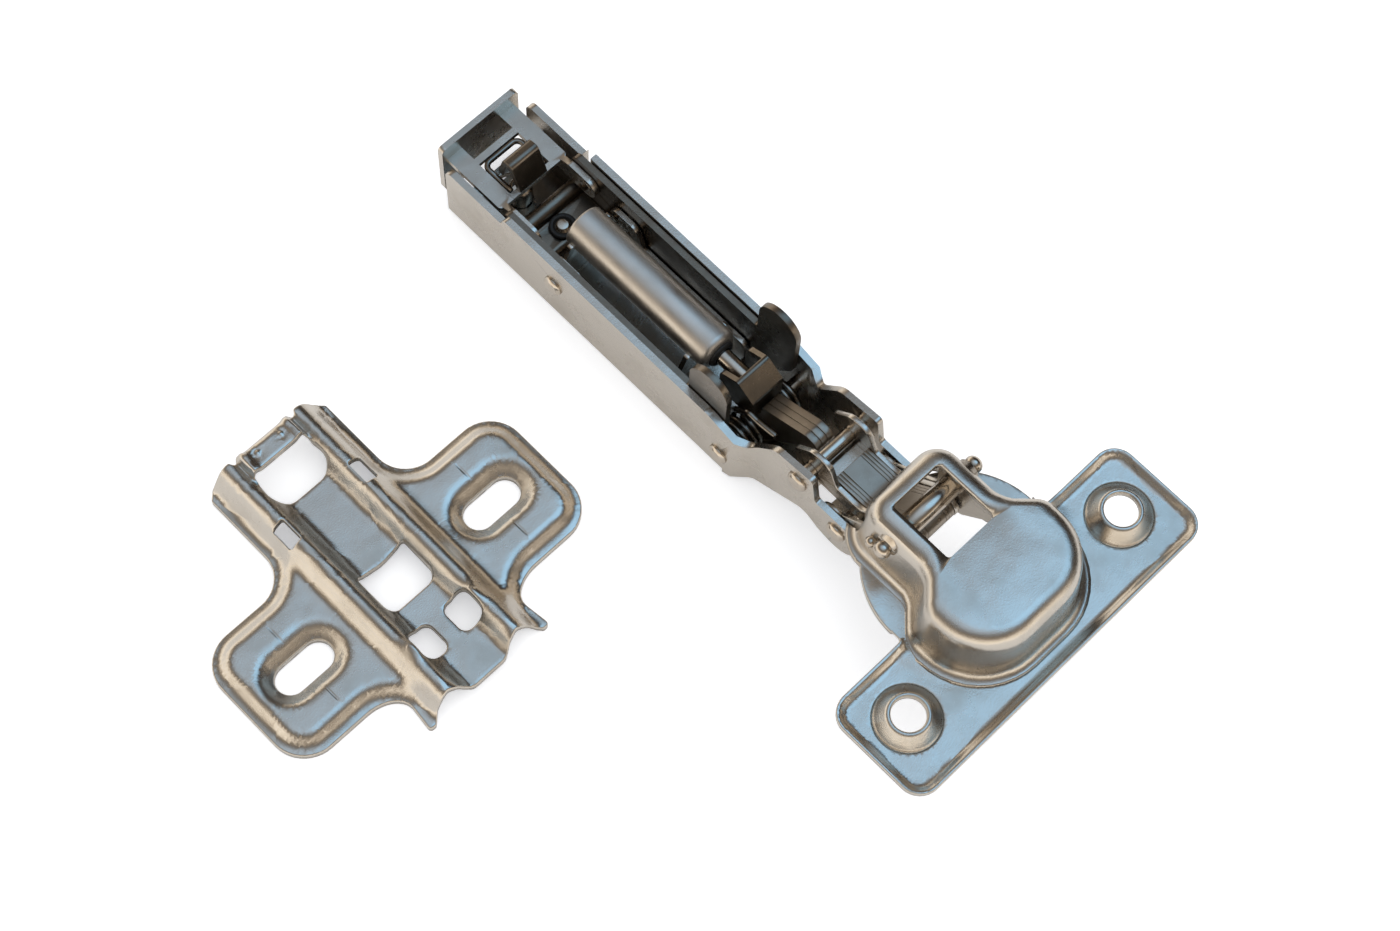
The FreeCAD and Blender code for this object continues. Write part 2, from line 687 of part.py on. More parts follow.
def damper_cradle():
    body = new_body("damper_cradle")
    rear = -size("damper_rear")
    front = rear + size("damper_length")
    base = carriage_floor_top + 0.25
    half = carriage_inner - 0.2
    tab = 0.7
    axis_z = size("damper_axis_z")
    x, z = cradle_rivet
    side = rounded([
        (rear, base, 0.3),
        (front, base, 0.3),
        (front, base + 4.0, 0.8),
        (x + 4.0, base + 4.0, 0.8),
        (x + 2.2, z + 2.0, 1.2),
        (x - 2.2, z + 2.0, 1.2),
        (rear, base + 3.0, 0.5),
    ])
    pad(body, "CradleBlank", "XZ_Plane", [side], f"2 * {half}", side="Symmetric")
    inside = mirrored_points([(rear - 1, half - tab), (front + 1, half - tab)])
    pocket(body, "CradleHollow", "XY_Plane", [rounded(inside)], "20", offset=str(base + tab), up=True)
    seat = size("damper_radius") + 0.02
    web = rounded([
        (-half + tab - 0.05, base + 0.1), (half - tab + 0.05, base + 0.1),
        (half - tab + 0.05, axis_z - 3.2), (3.6, axis_z, 0.5), (-3.6, axis_z, 0.5),
        (-half + tab - 0.05, axis_z - 3.2),
    ])
    pad(body, "RearSeat", "YZ_Plane", [web], str(tab), offset=str(rear + 1.0))
    pad(body, "FrontSeat", "YZ_Plane", [web], str(tab), offset=str(front - 3.0))
    pocket(body, "SeatBore", "YZ_Plane", [circle(0, axis_z, seat)], "80", offset=str(front + 2))
    pocket(body, "CradleHoles", "XZ_Plane", [circle(x, z, pin + JOIN)], "30", side="Symmetric")
    return body


def rivet_solid(x, z, y_inner, y_outer, sign, heads=True):
    """A short rivet through one wall, with a chamfered head outside."""
    length = y_outer - y_inner
    shank = Part.makeCylinder(pin, length, vec(x, sign * y_inner, z), vec(0, sign, 0))
    if not heads:
        return shank
    head = Part.makeCylinder(size("head_radius"), size("head_height"), vec(x, sign * y_outer, z), vec(0, sign, 0))
    rim = [e for e in head.Edges if abs(e.BoundBox.YLength) < 1e-6
           and abs(e.BoundBox.Center.y - sign * (y_outer + size("head_height"))) < 1e-6]
    return shank.fuse(head.makeChamfer(size("head_height") * 0.6, rim)).removeSplitter()


def damper_rivets():
    x, z = cradle_rivet
    inner = carriage_inner - 0.9
    outer = size("arm_half_width")
    return solid_group("damper_rivets", [rivet_solid(x, z, inner, outer, s) for s in (1, -1)])


def turned_x(label, outline, corners=chamfered):
    """A form turned about the damper's axis."""
    body = new_body(label, z="Sizes.damper_axis_z")
    lathe(body, label + "_turned", "XZ_Plane", corners(outline), axis="H_Axis")
    return body


def damper():
    rear = -size("damper_rear")
    front = rear + size("damper_length")
    outer = size("damper_radius")
    bore = outer - size("damper_wall")
    rod = size("rod_radius")
    turned_x("damper_cylinder", [
        (rear, 0), (rear, outer, 0.4), (front, outer, 1.1), (front, rod + 0.1),
        (front - 1.2, rod + 0.1), (front - 1.2, bore), (rear + 0.8, bore), (rear + 0.8, 0),
    ], corners=rounded)
    seal_end = front + size("seal_length")
    turned_x("rod_seal", [
        (front, rod + 0.08), (front, rod + 0.9, 0.1), (seal_end, rod + 0.7, 0.2), (seal_end, rod + 0.08),
    ])
    rod_end = -size("bracket_front") - size("bracket_sheet") - 0.01
    piston = front - size("piston_back")
    piston_end = piston + size("piston_length")
    turned_x("damper_rod", [
        (piston, 0), (piston, bore - 0.06, 0.2), (piston_end, bore - 0.06, 0.2), (piston_end, rod),
        (rod_end, rod, 0.2), (rod_end, 0),
    ])


def pusher_bracket():
    body = new_body("pusher_bracket")
    front = -size("bracket_front")
    sheet_t = size("bracket_sheet")
    z = size("damper_axis_z")
    rear = size("damper_length") - size("damper_rear") + size("seal_length") + size("bracket_gap")
    side = rounded([
        (rear, z - 2.4, 0.9),
        (front, z - 2.4, 0.3),
        (front, z + 1.8, 0.5),
        (front - 2.9, z + 4.0, 0.7),
        (rear, z + 2.4, 1.2),
    ])
    pad(body, "BracketBlank", "XZ_Plane", [side], "2 * Sizes.bracket_half", side="Symmetric")
    inside = rounded([
        (rear - 1, z - 4), (front - sheet_t, z - 4), (front - sheet_t, z + 1.5, 0.2),
        (front - 3.1, z + 3.15, 0.3), (front - 4.2, z + 6), (rear - 1, z + 6),
    ])
    pocket(body, "BracketHollow", "XZ_Plane", [inside], "2 * (Sizes.bracket_half - Sizes.bracket_sheet)",
           side="Symmetric")
    return body


# Rocker: three plates side by side on one pin, between the inner link and the pusher


def rocker_outline():
    x, z = rocker_pivot
    front = -size("bracket_front") + 0.45
    return rounded([
        (x - 2.0, z - 2.0, 1.9),
        (x + 2.0, z - 2.0, 1.6),
        (x + 8.2, z + 6.6, 3.0),
        (x + 10.9, z + 7.2, 1.4),
        (x + 10.9, z + 10.2, 1.4),
        (x + 8.6, z + 10.4, 1.2),
        (front, z + 6.8, 0.7),
        (front, z + 4.6, 1.5),
        (x - 2.0, z + 1.2, 1.5),
    ])


def rocker_plates():
    body = new_body("rocker_plates")
    gap = size("rocker_gap")
    pad(body, "RockerStack", "XZ_Plane", [rocker_outline()], "2 * Sizes.rocker_half", side="Symmetric")
    third = 2 * size("rocker_half") / 3
    for i, y in enumerate((-third / 2, third / 2)):
        slit = rounded([(-60, y - gap / 2), (0, y - gap / 2), (0, y + gap / 2), (-60, y + gap / 2)])
        pocket(body, f"RockerSlit{i}", "XY_Plane", [slit], "40", offset="7.2", up=True)
    pocket(body, "RockerHole", "XZ_Plane", [circle(*rocker_pivot, pin + size("pin_play"))],
           "4 * Sizes.rocker_half", side="Symmetric")
    return body


def through_pin(label, x, z, half, heads=True):
    """A pin across the hinge, with a chamfered head beyond each wall."""
    body = new_body(label, x=x, z=z)
    head_r, head_h = size("head_radius"), size("head_height")
    outline = [(0, -half), (pin, -half), (pin, half), (0, half)]
    if heads:
        outline = [
            (0, -half - head_h), (head_r, -half - head_h, head_h * 0.6), (head_r, -half), (pin, -half),
            (pin, half), (head_r, half), (head_r, half + head_h, head_h * 0.6), (0, half + head_h),
        ]
    lathe(body, label + "_turned", "XY_Plane", chamfered(outline))
    return body


def pins():
    neck = size("neck_half_width")
    through_pin("rocker_pin", "Sizes.rocker_pivot_x", "Sizes.rocker_pivot_z", size("arm_half_width"))
    through_pin("inner_link_pin", "Sizes.inner_pivot_x", "Sizes.inner_pivot_z", neck)
    through_pin("outer_link_pin", "Sizes.outer_pivot_x", "Sizes.outer_pivot_z", neck)
    lean = size("cup_taper") / (size("cup_top") - size("flange_under"))
    head_foot = window_pin[1] - size("head_radius") - size("flange_under")
    cup_half = size("cup_neck_half") - lean * head_foot + 0.03
    through_pin("window_pin", "Sizes.window_pin_x", "Sizes.window_pin_z", cup_half)
    lug_half = size("window_half") + size("cup_lug_sheet")
    through_pin("rear_cup_pin", "Sizes.rear_pin_x", "Sizes.rear_pin_z", lug_half, heads=False)


def lever_pins():
    x, z = size("lever_pivot_x"), size("lever_pivot_z")
    inner = carriage_inner - 1.0
    return solid_group("lever_pins", [rivet_solid(x, z, inner, carriage_half, s, heads=False) for s in (1, -1)])


# Closing spring: closed turns on both sides of the rocker, the innermost ending in a leg


def wire_section(centre, across, along, radius):
    """An eight-sided wire section between two directions."""
    corners = []
    for i in range(8):
        angle = math.radians(22.5 + 45 * i)
        corners.append(centre + across * (radius * math.cos(angle)) + along * (radius * math.sin(angle)))
    return Part.makePolygon(corners + corners[:1])


def closing_spring():
    x, z = rocker_pivot
    wire = size("spring_wire") / 2
    mean = size("spring_mean")
    pitch = size("spring_wire") + 0.03
    solids = []
    legs = {
        -1: [(-2.5, 0, 2.0), (-1.4, -0.85, 5.0), (0.6, -0.85, 7.4), (2.2, -0.85, 7.3), (5.4, -0.85, 7.9)],
        1: [(-2.5, 0, 1.8), (-1.8, 0.6, 3.8)],
    }
    for sign, leg in legs.items():
        first_y = sign * (size("spring_start") + wire)
        middle = vec(x, first_y, z)
        for turn in (1, 2):
            centre = middle + vec(0, sign * turn * pitch, 0)
            ring = Part.Face(wire_section(centre + vec(mean, 0, 0), vec(1, 0, 0), vec(0, 1, 0), wire))
            solids.append(ring.revolve(centre, vec(0, 1, 0), 360))
        start, half_way, end = [vec(math.cos(a), 0, math.sin(a)) for a in (math.radians(d) for d in (115, -30, -180))]
        bow = Part.Arc(middle + start * mean, middle + half_way * mean, middle + end * mean)
        lift = wire_path([middle + vec(-mean, 0, 0)] + [middle + vec(*p) for p in leg], 0.8)
        path = Part.Wire([bow.toShape()] + lift.Edges)
        section = wire_section(middle + start * mean, start, vec(0, 1, 0), wire)
        solids.append(path.makePipeShell([section], True, False))
    return solid_group("closing_spring", solids)


# Inner link: a folded saddle round its pin, packs of thin plates and a smooth core


def inner_link_band(top, bottom):
    """Side outline of the flat band from the arm to the rear cup pin."""
    x1, z1 = inner_pivot
    xb, zb = rear_pin
    return [
        (x1 + 3.2, bottom),
        (xb - 4.4, bottom + 0.6, 2.5),
        (xb - 0.2, zb - 1.9, 0.8),
        (xb + 1.9, zb - 1.9, 1.85),
        (xb + 1.9, zb + 1.9, 1.85),
        (xb - 1.7, zb + 1.9, 1.6),
        (xb - 6.6, top, 3.0),
        (x1 + 3.2, top),
    ]


def rear_hole():
    return [circle(*rear_pin, pin + size("open_pivot_play"))]


def inner_link():
    x1, z1 = inner_pivot
    top = z1 + 1.1
    bottom = z1 - 1.7
    saddle = new_body("inner_link_saddle")
    outline = [
        (x1 - 2.4, z1 - 2.0, 1.6),
        (x1 + 5.4, bottom - 0.3, 1.5),
        (rear_pin[0] - 4.4, bottom + 0.3, 2.5),
        (rear_pin[0] - 0.2, rear_pin[1] - 2.0, 0.8),
        (rear_pin[0] + 2.0, rear_pin[1] - 2.0, 1.95),
        (rear_pin[0] + 2.0, rear_pin[1] + 2.0, 1.95),
        (rear_pin[0] - 1.8, rear_pin[1] + 2.0, 1.6),
        (x1 + 8.4, top - 0.2, 3.0),
        (x1 + 4.2, top - 0.2, 0.8),
        (x1 + 2.6, z1 + 4.7, 1.9),
        (x1 - 0.4, z1 + 4.5, 2.0),
        (x1 - 3.2, z1 + 1.4, 1.2),
    ]
    half = "(Sizes.link_ear_inner + Sizes.link_ear_sheet)"
    pad(saddle, "SaddleBlank", "XZ_Plane", [rounded(outline)], f"2 * {half}", side="Symmetric")
    keep = 0.5
    inside = [
        (x1 - 6, z1 - 6), (x1 - 2.6, z1 - 6), (x1 + 1.2, bottom + keep),
        (rear_pin[0] - 4.6, bottom + 0.3 + keep), (rear_pin[0] - 3.4, bottom - 3),
        (rear_pin[0] + 6, bottom - 3), (rear_pin[0] + 6, rear_pin[1] + 6), (x1 - 6, z1 + 8),
    ]
    pocket(saddle, "SaddleHollow", "XZ_Plane", [rounded(inside)], "2 * Sizes.link_ear_inner", side="Symmetric")
    holes = [circle(*inner_pivot, pin + size("pin_play"))] + rear_hole()
    pocket(saddle, "SaddleHoles", "XZ_Plane", holes, "20", side="Symmetric")

    band = rounded(inner_link_band(top, bottom + keep + 0.12))
    core = new_body("inner_link_core")
    pad(core, "CoreBlank", "XZ_Plane", [band], "2 * Sizes.link_core_half", side="Symmetric")
    pocket(core, "CoreHole", "XZ_Plane", rear_hole(), "20", side="Symmetric")

    step = size("link_plate") + size("link_plate_gap")
    first = size("link_core_half") + 0.04
    plate_face = Part.Face(Part.Wire([e.toShape() for e in upright(band)]))
    hole = Part.makeCylinder(pin + size("open_pivot_play"), 20, vec(rear_pin[0], 10, rear_pin[1]), vec(0, -1, 0))
    plates = []
    for sign in (-1, 1):
        for i in range(3):
            y = first + i * step
            low = y if sign > 0 else -y - size("link_plate")
            plate = plate_face.copy()
            plate.translate(vec(0, low, 0))
            plates.append(plate.extrude(vec(0, size("link_plate"), 0)).cut(hole))
    solid_group("inner_link_plates", plates)


def upright(edges):
    """Turns edges drawn flat into the upright XZ plane."""
    turned = []
    for edge in edges:
        copy = edge.copy()
        copy.rotate(FreeCAD.Placement(vec(0, 0, 0), FreeCAD.Rotation(vec(1, 0, 0), 90)))
        turned.append(copy)
    return turned


# Outer link: one folded sheet, two side strips joined by a web round its lower pin


def outer_link():
    body = new_body("outer_link")
    x2, z2 = outer_pivot
    xa, za = window_pin
    eye = 1.45
    lobe = 2.5
    side = rounded([
        (x2 - lobe - 1.2, z2 - lobe, 2.2),
        (x2 + lobe, z2 - lobe, 2.4),
        (x2 + lobe + 0.6, z2 + 1.2, 2.0),
        (xa + eye + 0.3, za - 4.5, 4.0),
        (xa + eye, za + eye, eye - 0.01),
        (xa - eye, za + eye, eye - 0.01),
        (xa - eye - 0.8, za - 4.0, 3.0),
        (x2 - 0.8, z2 + lobe + 0.1, 1.2),
        (x2 - lobe - 1.2, z2 + lobe, 2.2),
    ])
    pad(body, "LinkBlank", "XZ_Plane", [side], "2 * Sizes.outer_link_half", side="Symmetric")
    web = size("outer_link_web")
    inside = rounded([
        (x2 - lobe - 4, z2 - lobe + web), (x2 + lobe - web, z2 - lobe + web, 1.1),
        (x2 + lobe - web + 0.4, z2 - 0.3, 0.8), (x2 + lobe + 6, z2 + 0.8), (xa + 6, z2 + 2), (xa + 6, za + 6),
        (x2 - lobe - 4, za + 6),
    ])
    pocket(body, "LinkHollow", "XZ_Plane", [inside], "2 * (Sizes.outer_link_half - Sizes.outer_link_sheet)",
           side="Symmetric")
    holes = [circle(*outer_pivot, pin + size("pin_play")), circle(*window_pin, pin + size("pin_play"))]
    pocket(body, "LinkHoles", "XZ_Plane", holes, "30", side="Symmetric")
    return body


# Cup: one deep-drawn sheet, the cup with its neck, and the flange with two wings


def cup_outline(reach, half, neck_reach, neck_half, grow):
    """Plan of the cup's wall; grow moves every side outwards."""
    return mirrored_points([
        (reach + grow, half + grow, 8.4 + grow),
        (2.6 - 0.3 * grow, half + grow, 3.4 + grow),
        (-1.2 - 0.3 * grow, neck_half + grow, 3.6 - grow),
        (-neck_reach - grow, neck_half + grow, 3.6 + grow),
    ])


def cup():
    body = new_body("cup")
    taper = size("cup_taper")
    sheet_t = size("cup_sheet")
    under = size("flange_under")
    radius = size("flange_radius")
    near = size("wing_start")
    span = size("flange_half_span")
    far = size("flange_reach")
    corner = size("wing_corner")
    disc = circle(0, 0, radius)
    wings = mirrored_points([(far, span, corner), (near, span, corner), (near, 8)])
    pad(body, "FlangeDisc", "XY_Plane", [disc], "Sizes.cup_sheet", offset="Sizes.flange_under")
    pad(body, "Wings", "XY_Plane", [rounded(wings)], "Sizes.cup_sheet + Sizes.lip_height",
        offset="Sizes.flange_under")
    lip = size("lip_width")
    tray = mirrored_points([
        (far - lip, span - lip, corner - lip), (near + lip, span - lip, corner - lip), (near + lip, radius - 0.2, 0.5),
        (near - 4, radius - 0.2),
    ])
    pocket(body, "WingTray", "XY_Plane", [rounded(tray)], "Sizes.lip_height + 1",
           offset="Sizes.flange_under + Sizes.cup_sheet", up=True)
    sizes_low = (size("cup_reach"), size("cup_half_width"), size("cup_neck_reach"), size("cup_neck_half"))
    outer_low = rounded(cup_outline(*sizes_low, 0))
    outer_high = rounded(cup_outline(*sizes_low, -taper))
    loft = body.newObject("PartDesign::AdditiveLoft", "CupWall")
    loft.Profile = sketch(body, "CupWallLow", "XY_Plane", [outer_low], "Sizes.flange_under")
    loft.Sections = [sketch(body, "CupWallHigh", "XY_Plane", [outer_high], "Sizes.cup_top")]
    loft.Ruled = True
    body.Tip = loft
    top = size("cup_top")
    fillet(body, "CupTopEdge", loft, "Sizes.cup_edge", lambda p: abs(p.z - top) < 1e-4)
    hollow = body.newObject("PartDesign::SubtractiveLoft", "CupHollow")
    inner_low = rounded(cup_outline(*sizes_low, -sheet_t))
    inner_high = rounded(cup_outline(*sizes_low, -sheet_t - taper))
    hollow.Profile = sketch(body, "CupHollowLow", "XY_Plane", [inner_low], "Sizes.flange_under")
    hollow.Sections = [sketch(body, "CupHollowHigh", "XY_Plane", [inner_high], "Sizes.cup_top - Sizes.cup_sheet")]
    hollow.Ruled = True
    body.Tip = hollow
    ceiling = top - sheet_t
    fillet(body, "CupInnerEdge", hollow, "Sizes.cup_inner_edge",
           lambda p: abs(p.z - ceiling) < 1e-4 and p.x > -20)
    window = rounded([
        (size("window_near"), -size("window_half"), 0.4), (size("window_far"), -size("window_half"), 0.4),
        (size("window_far"), size("window_half"), 0.4), (size("window_near"), size("window_half"), 0.4),
    ])
    pocket(body, "Window", "XY_Plane", [window], "3 * Sizes.cup_sheet", offset="Sizes.cup_top - 2 * Sizes.cup_sheet",
           up=True)
    mouth_half = size("cup_neck_half") - sheet_t - 0.15
    mouth = rounded([
        (-mouth_half, under - 1), (mouth_half, under - 1), (mouth_half, top - 4.2, 1.5),
        (-mouth_half, top - 4.2, 1.5),
    ])
    pocket(body, "NeckMouth", "YZ_Plane", [mouth], "5", offset="-Sizes.cup_neck_reach + 3")
    cone(body, size("cup_screw_pitch") / 2)
    cup_lugs(body, ceiling)
    pocket(body, "WindowPinHole", "XZ_Plane", [circle(*window_pin, pin + JOIN)], "2 * Sizes.cup_neck_half + 2",
           side="Symmetric")
    pocket(body, "RearPinHole", "XZ_Plane", [circle(*rear_pin, pin + JOIN)],
           "2 * (Sizes.window_half + Sizes.cup_lug_sheet) + 0.4", side="Symmetric")
    return body


def cup_lugs(body, ceiling):
    """Lugs bent down from the window's sides, which carry the rear cup pin."""
    x, z = rear_pin
    back = size("window_near") + 0.2
    front = size("window_far") - 0.3
    side = rounded([
        (back, ceiling + 0.05), (x - 2.0, z - 1.9, 1.6), (x + 1.9, z - 1.9, 1.8), (front, ceiling - 1.6, 0.8),
        (front, ceiling + 0.05),
    ])
    pad(body, "NearLug", "XZ_Plane", [side], "Sizes.cup_lug_sheet", offset="Sizes.window_half")
    pad(body, "FarLug", "XZ_Plane", [side], "Sizes.cup_lug_sheet", offset="-Sizes.window_half", down=True)


def cone(body, pitch):
    """Pressed cones round the screw holes, rising towards the door."""
    under = size("flange_under")
    sheet_t = size("cup_sheet")
    foot = size("cone_radius")
    hole = size("cup_screw_radius")
    rise = size("cone_height")
    x = size("cup_screw_x")
    features = []
    for kind, outline in (
        ("Revolution", [(hole, under), (foot, under), (foot, under + sheet_t),
                        (hole + 0.6, under + sheet_t + rise), (hole, under + sheet_t + rise)]),
        ("Groove", [(0, under - 1), (foot - 0.6, under - 1), (foot - 0.6, under), (hole, under + rise),
                    (hole, under + rise + 3), (0, under + rise + 3)]),
    ):
        profile = sketch(body, f"Cone{kind}Sketch", "XZ_Plane", [rounded(outline)], str(pitch))
        profile.setExpression("AttachmentOffset.Base.x", "Sizes.cup_screw_x")
        feature = body.newObject(f"PartDesign::{kind}", f"Cone{kind}")
        feature.Profile = profile
        feature.ReferenceAxis = (profile, ["V_Axis"])
        feature.Angle = 360
        body.Tip = feature
        features.append(feature)
        doc.recompute()
    mirror(body, "OtherCone", features)


# Mounting plate: one stamped sheet with raised wings, slots, and two rails for the arm


def plate_outline(grow):
    """Plan of the plate; grow moves every side outwards."""
    span = size("plate_half_span") + grow
    wing = size("plate_wing_half") + grow
    half = size("plate_body_half") + grow
    rear = -size("plate_rear") - grow
    front = size("plate_front") + grow
    return mirrored_points([
        (front, half, 1.5), (wing, half, 4.8 - grow), (wing, span, 5.0 + grow),
        (-wing, span, 5.0 + grow), (-wing, half, 4.8 - grow), (rear, half, 1.5),
    ])


def oval(y, length, radius, grow):
    half = length / 2 + grow
    wide = radius + grow
    return rounded([
        (-wide, y - half, wide - 0.001), (wide, y - half, wide - 0.001),
        (wide, y + half, wide - 0.001), (-wide, y + half, wide - 0.001),
    ])


def rail_section():
    """Cross-section of both rails and the valley between them."""
    crest = size("rail_height")
    off = size("rail_offset")
    half = size("rail_half")
    base = size("plate_sheet") + size("plate_rise")
    right = [
        (off + half + 0.9, base / 4), (off + half + 0.9, base), (off + 1.3, crest, 1.2), (off - 1.3, crest, 1.2),
        (off - half, base, 1.0),
    ]
    left = [(-p[0], p[1]) + tuple(p[2:]) for p in reversed(right)]
    return rounded(right + left)


def rail_hollows():
    """What is open under the two rails."""
    off = size("rail_offset")
    half = size("rail_half")
    crest = size("rail_height") - 0.85
    foot = size("plate_rise") - 0.07
    outlines = []
    for sign in (1, -1):
        points = [
            (off + half + 0.1, -1), (off + half + 0.1, foot), (off + 0.1, crest, 0.9), (off - half + 0.7, foot),
            (off - half + 0.7, -1),
        ]
        outlines.append(rounded([(sign * p[0],) + tuple(p[1:]) for p in points]))
    return outlines


def mounting_plate():
    body = new_body("mounting_plate", x="Sizes.plate_x", y="Sizes.plate_y")
    rim = size("plate_rim")
    t = size("plate_sheet")
    pad(body, "Rim", "XY_Plane", [rounded(plate_outline(0))], "Sizes.plate_sheet")
    pad(body, "RaisedField", "XY_Plane", [rounded(plate_outline(-rim))],
        "Sizes.plate_sheet + Sizes.plate_rise")
    pad(body, "Rails", "YZ_Plane", [rail_section()], "Sizes.plate_rear + Sizes.plate_front - 2 * 0.2",
        offset="-Sizes.plate_rear + 0.2")
    pocket(body, "Underside", "XY_Plane", [rounded(plate_outline(-rim - t * 0.8))], "Sizes.plate_rise", up=True)
    pocket(body, "RailHollows", "YZ_Plane", rail_hollows(),
           "Sizes.plate_rear + Sizes.plate_front + 2", offset="Sizes.plate_front + 1")
    y = size("plate_screw_pitch") / 2
    for i, side in enumerate((y, -y)):
        pad(body, f"SlotFill{i}", "XY_Plane", [oval(side, size("slot_length"), size("slot_radius"), 1.5)],
            "Sizes.plate_sheet + Sizes.plate_rise - 0.3")
        dish = body.newObject("PartDesign::SubtractiveLoft", f"SlotDish{i}")
        dish.Profile = sketch(body, f"DishLow{i}", "XY_Plane",
                              [oval(side, size("slot_length"), size("slot_radius"), 0.2)], "0.6")
        dish.Sections = [sketch(body, f"DishHigh{i}", "XY_Plane",
                                [oval(side, size("slot_length"), size("slot_radius"), 1.9)],
                                "Sizes.plate_sheet + Sizes.plate_rise")]
        dish.Ruled = True
        body.Tip = dish
        pocket(body, f"Slot{i}", "XY_Plane", [oval(side, size("slot_length"), size("slot_radius"), 0)],
               "4 * Sizes.plate_sheet", side="Symmetric")
    windows = [
        rounded([(-24, -4.5, 1.4), (-17.5, -4.5, 1.8), (-17.5, 4.5, 1.8), (-24, 4.5, 1.4)]),
        rounded([(-3.5, -4.0, 0.8), (3.0, -4.0, 0.8), (3.0, 4.0, 0.8), (-3.5, 4.0, 0.8)]),
        rounded([(7.2, 1.4, 0.8), (10.8, 1.4, 0.8), (10.8, 4.4, 0.8), (7.2, 4.4, 0.8)]),
        rounded([(7.2, -4.4, 0.8), (10.8, -4.4, 0.8), (10.8, -1.4, 0.8), (7.2, -1.4, 0.8)]),
    ]
    for side in (1, -1):
        low, high = sorted((side * 5.5, side * 7.3))
        windows.append(rounded([(-15.5, low), (-11.9, low), (-11.9, high), (-15.5, high)]))
    pocket(body, "Openings", "XY_Plane", windows, "4 * Sizes.rail_height", side="Symmetric")
    return body


outer_arm()
carriage()
screw_saddle()
side_screw()
depth_screw()
release_lever()
catch_hook()
catch_spring()
damper_cradle()
damper_rivets()
damper()
pusher_bracket()
rocker_plates()
pins()
lever_pins()
closing_spring()
inner_link()
outer_link()
cup()
mounting_plate()
doc.recompute()

problems = []
for item in doc.Objects:
    if "Invalid" in item.State or "Error" in item.State:
        problems.append(f"{item.Name}: {item.State}")
    elif item.isDerivedFrom("PartDesign::Pocket"):
        base = item.BaseFeature
        if base is None or base.Shape.isNull() or base.Shape.Volume - item.Shape.Volume < 1e-3:
            problems.append(f"{item.Name}: cuts nothing")
for part in PARTS:
    if part.Shape.isNull() or not part.Shape.isValid() or not part.Shape.Solids:
        problems.append(f"{part.Label}: shape is null, invalid or empty")
if problems:
    raise RuntimeError("; ".join(problems))

os.makedirs("parts", exist_ok=True)
for part in PARTS:
    part.Shape.exportStep(os.path.join("parts", part.Label + ".step"))
    box = part.Shape.BoundBox
    print(f"{part.Label:20s} solids {len(part.Shape.Solids)}  volume {part.Shape.Volume:9.2f}  "
          f"x {box.XMin:7.2f} {box.XMax:7.2f}  y {box.YMin:7.2f} {box.YMax:7.2f}  z {box.ZMin:6.2f} {box.ZMax:6.2f}")
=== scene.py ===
"""A nickel-plated concealed cup hinge, opened, and its mounting plate, on a white table."""

import math

import bmesh
import bpy
from mathutils import Matrix, Vector


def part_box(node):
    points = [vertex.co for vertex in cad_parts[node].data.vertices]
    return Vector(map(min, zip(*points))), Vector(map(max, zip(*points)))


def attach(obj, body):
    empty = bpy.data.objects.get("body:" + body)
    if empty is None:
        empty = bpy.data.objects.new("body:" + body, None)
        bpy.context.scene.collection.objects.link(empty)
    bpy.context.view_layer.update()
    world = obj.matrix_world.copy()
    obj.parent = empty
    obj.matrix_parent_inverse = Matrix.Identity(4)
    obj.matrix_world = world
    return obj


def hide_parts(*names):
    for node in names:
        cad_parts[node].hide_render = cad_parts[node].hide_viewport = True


MM = 0.001
# The cup's axis in the part's own frame, in millimetres
CUP = Vector((35.25, 24.05, 0.0))
LENGTHWAYS = Vector((1, 0, 0))
CROSSWAYS = Vector((0, 1, 0))
UPWARDS = Vector((0, 0, 1))

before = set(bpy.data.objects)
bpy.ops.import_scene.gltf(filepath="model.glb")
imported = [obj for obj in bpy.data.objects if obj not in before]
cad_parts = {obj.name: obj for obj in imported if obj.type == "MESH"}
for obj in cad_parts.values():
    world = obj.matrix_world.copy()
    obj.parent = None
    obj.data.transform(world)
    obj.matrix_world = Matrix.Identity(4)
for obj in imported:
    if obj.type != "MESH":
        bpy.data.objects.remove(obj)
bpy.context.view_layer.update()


def linear(colour):
    """An sRGB hex colour as a linear RGBA value."""
    channels = [int(colour[i:i + 2], 16) / 255 for i in (1, 3, 5)]
    return [c / 12.92 if c <= 0.04045 else ((c + 0.055) / 1.055) ** 2.4 for c in channels] + [1.0]


def add(tree, kind, links=(), **settings):
    """Adds a node; links are (its input, another node's output), settings its properties or inputs."""
    node = tree.nodes.new(kind)
    for key, value in settings.items():
        if hasattr(node, key):
            setattr(node, key, value)
        else:
            node.inputs[key.replace("_", " ")].default_value = value
    for socket, source in links:
        tree.links.new(source, node.inputs[socket])
    return node


def new_material(name):
    """An empty material and its node tree."""
    material = bpy.data.materials.new(name)
    material.use_nodes = True
    material.node_tree.nodes.clear()
    return material, material.node_tree


# Metals

# Size of the tarnish's blotches, distance between the slow waves of rolled sheet, depth of the grain
MOTTLE_MM = 7
WAVE_PITCH_MM = 5
GRAIN_BUMP_MM = 0.03


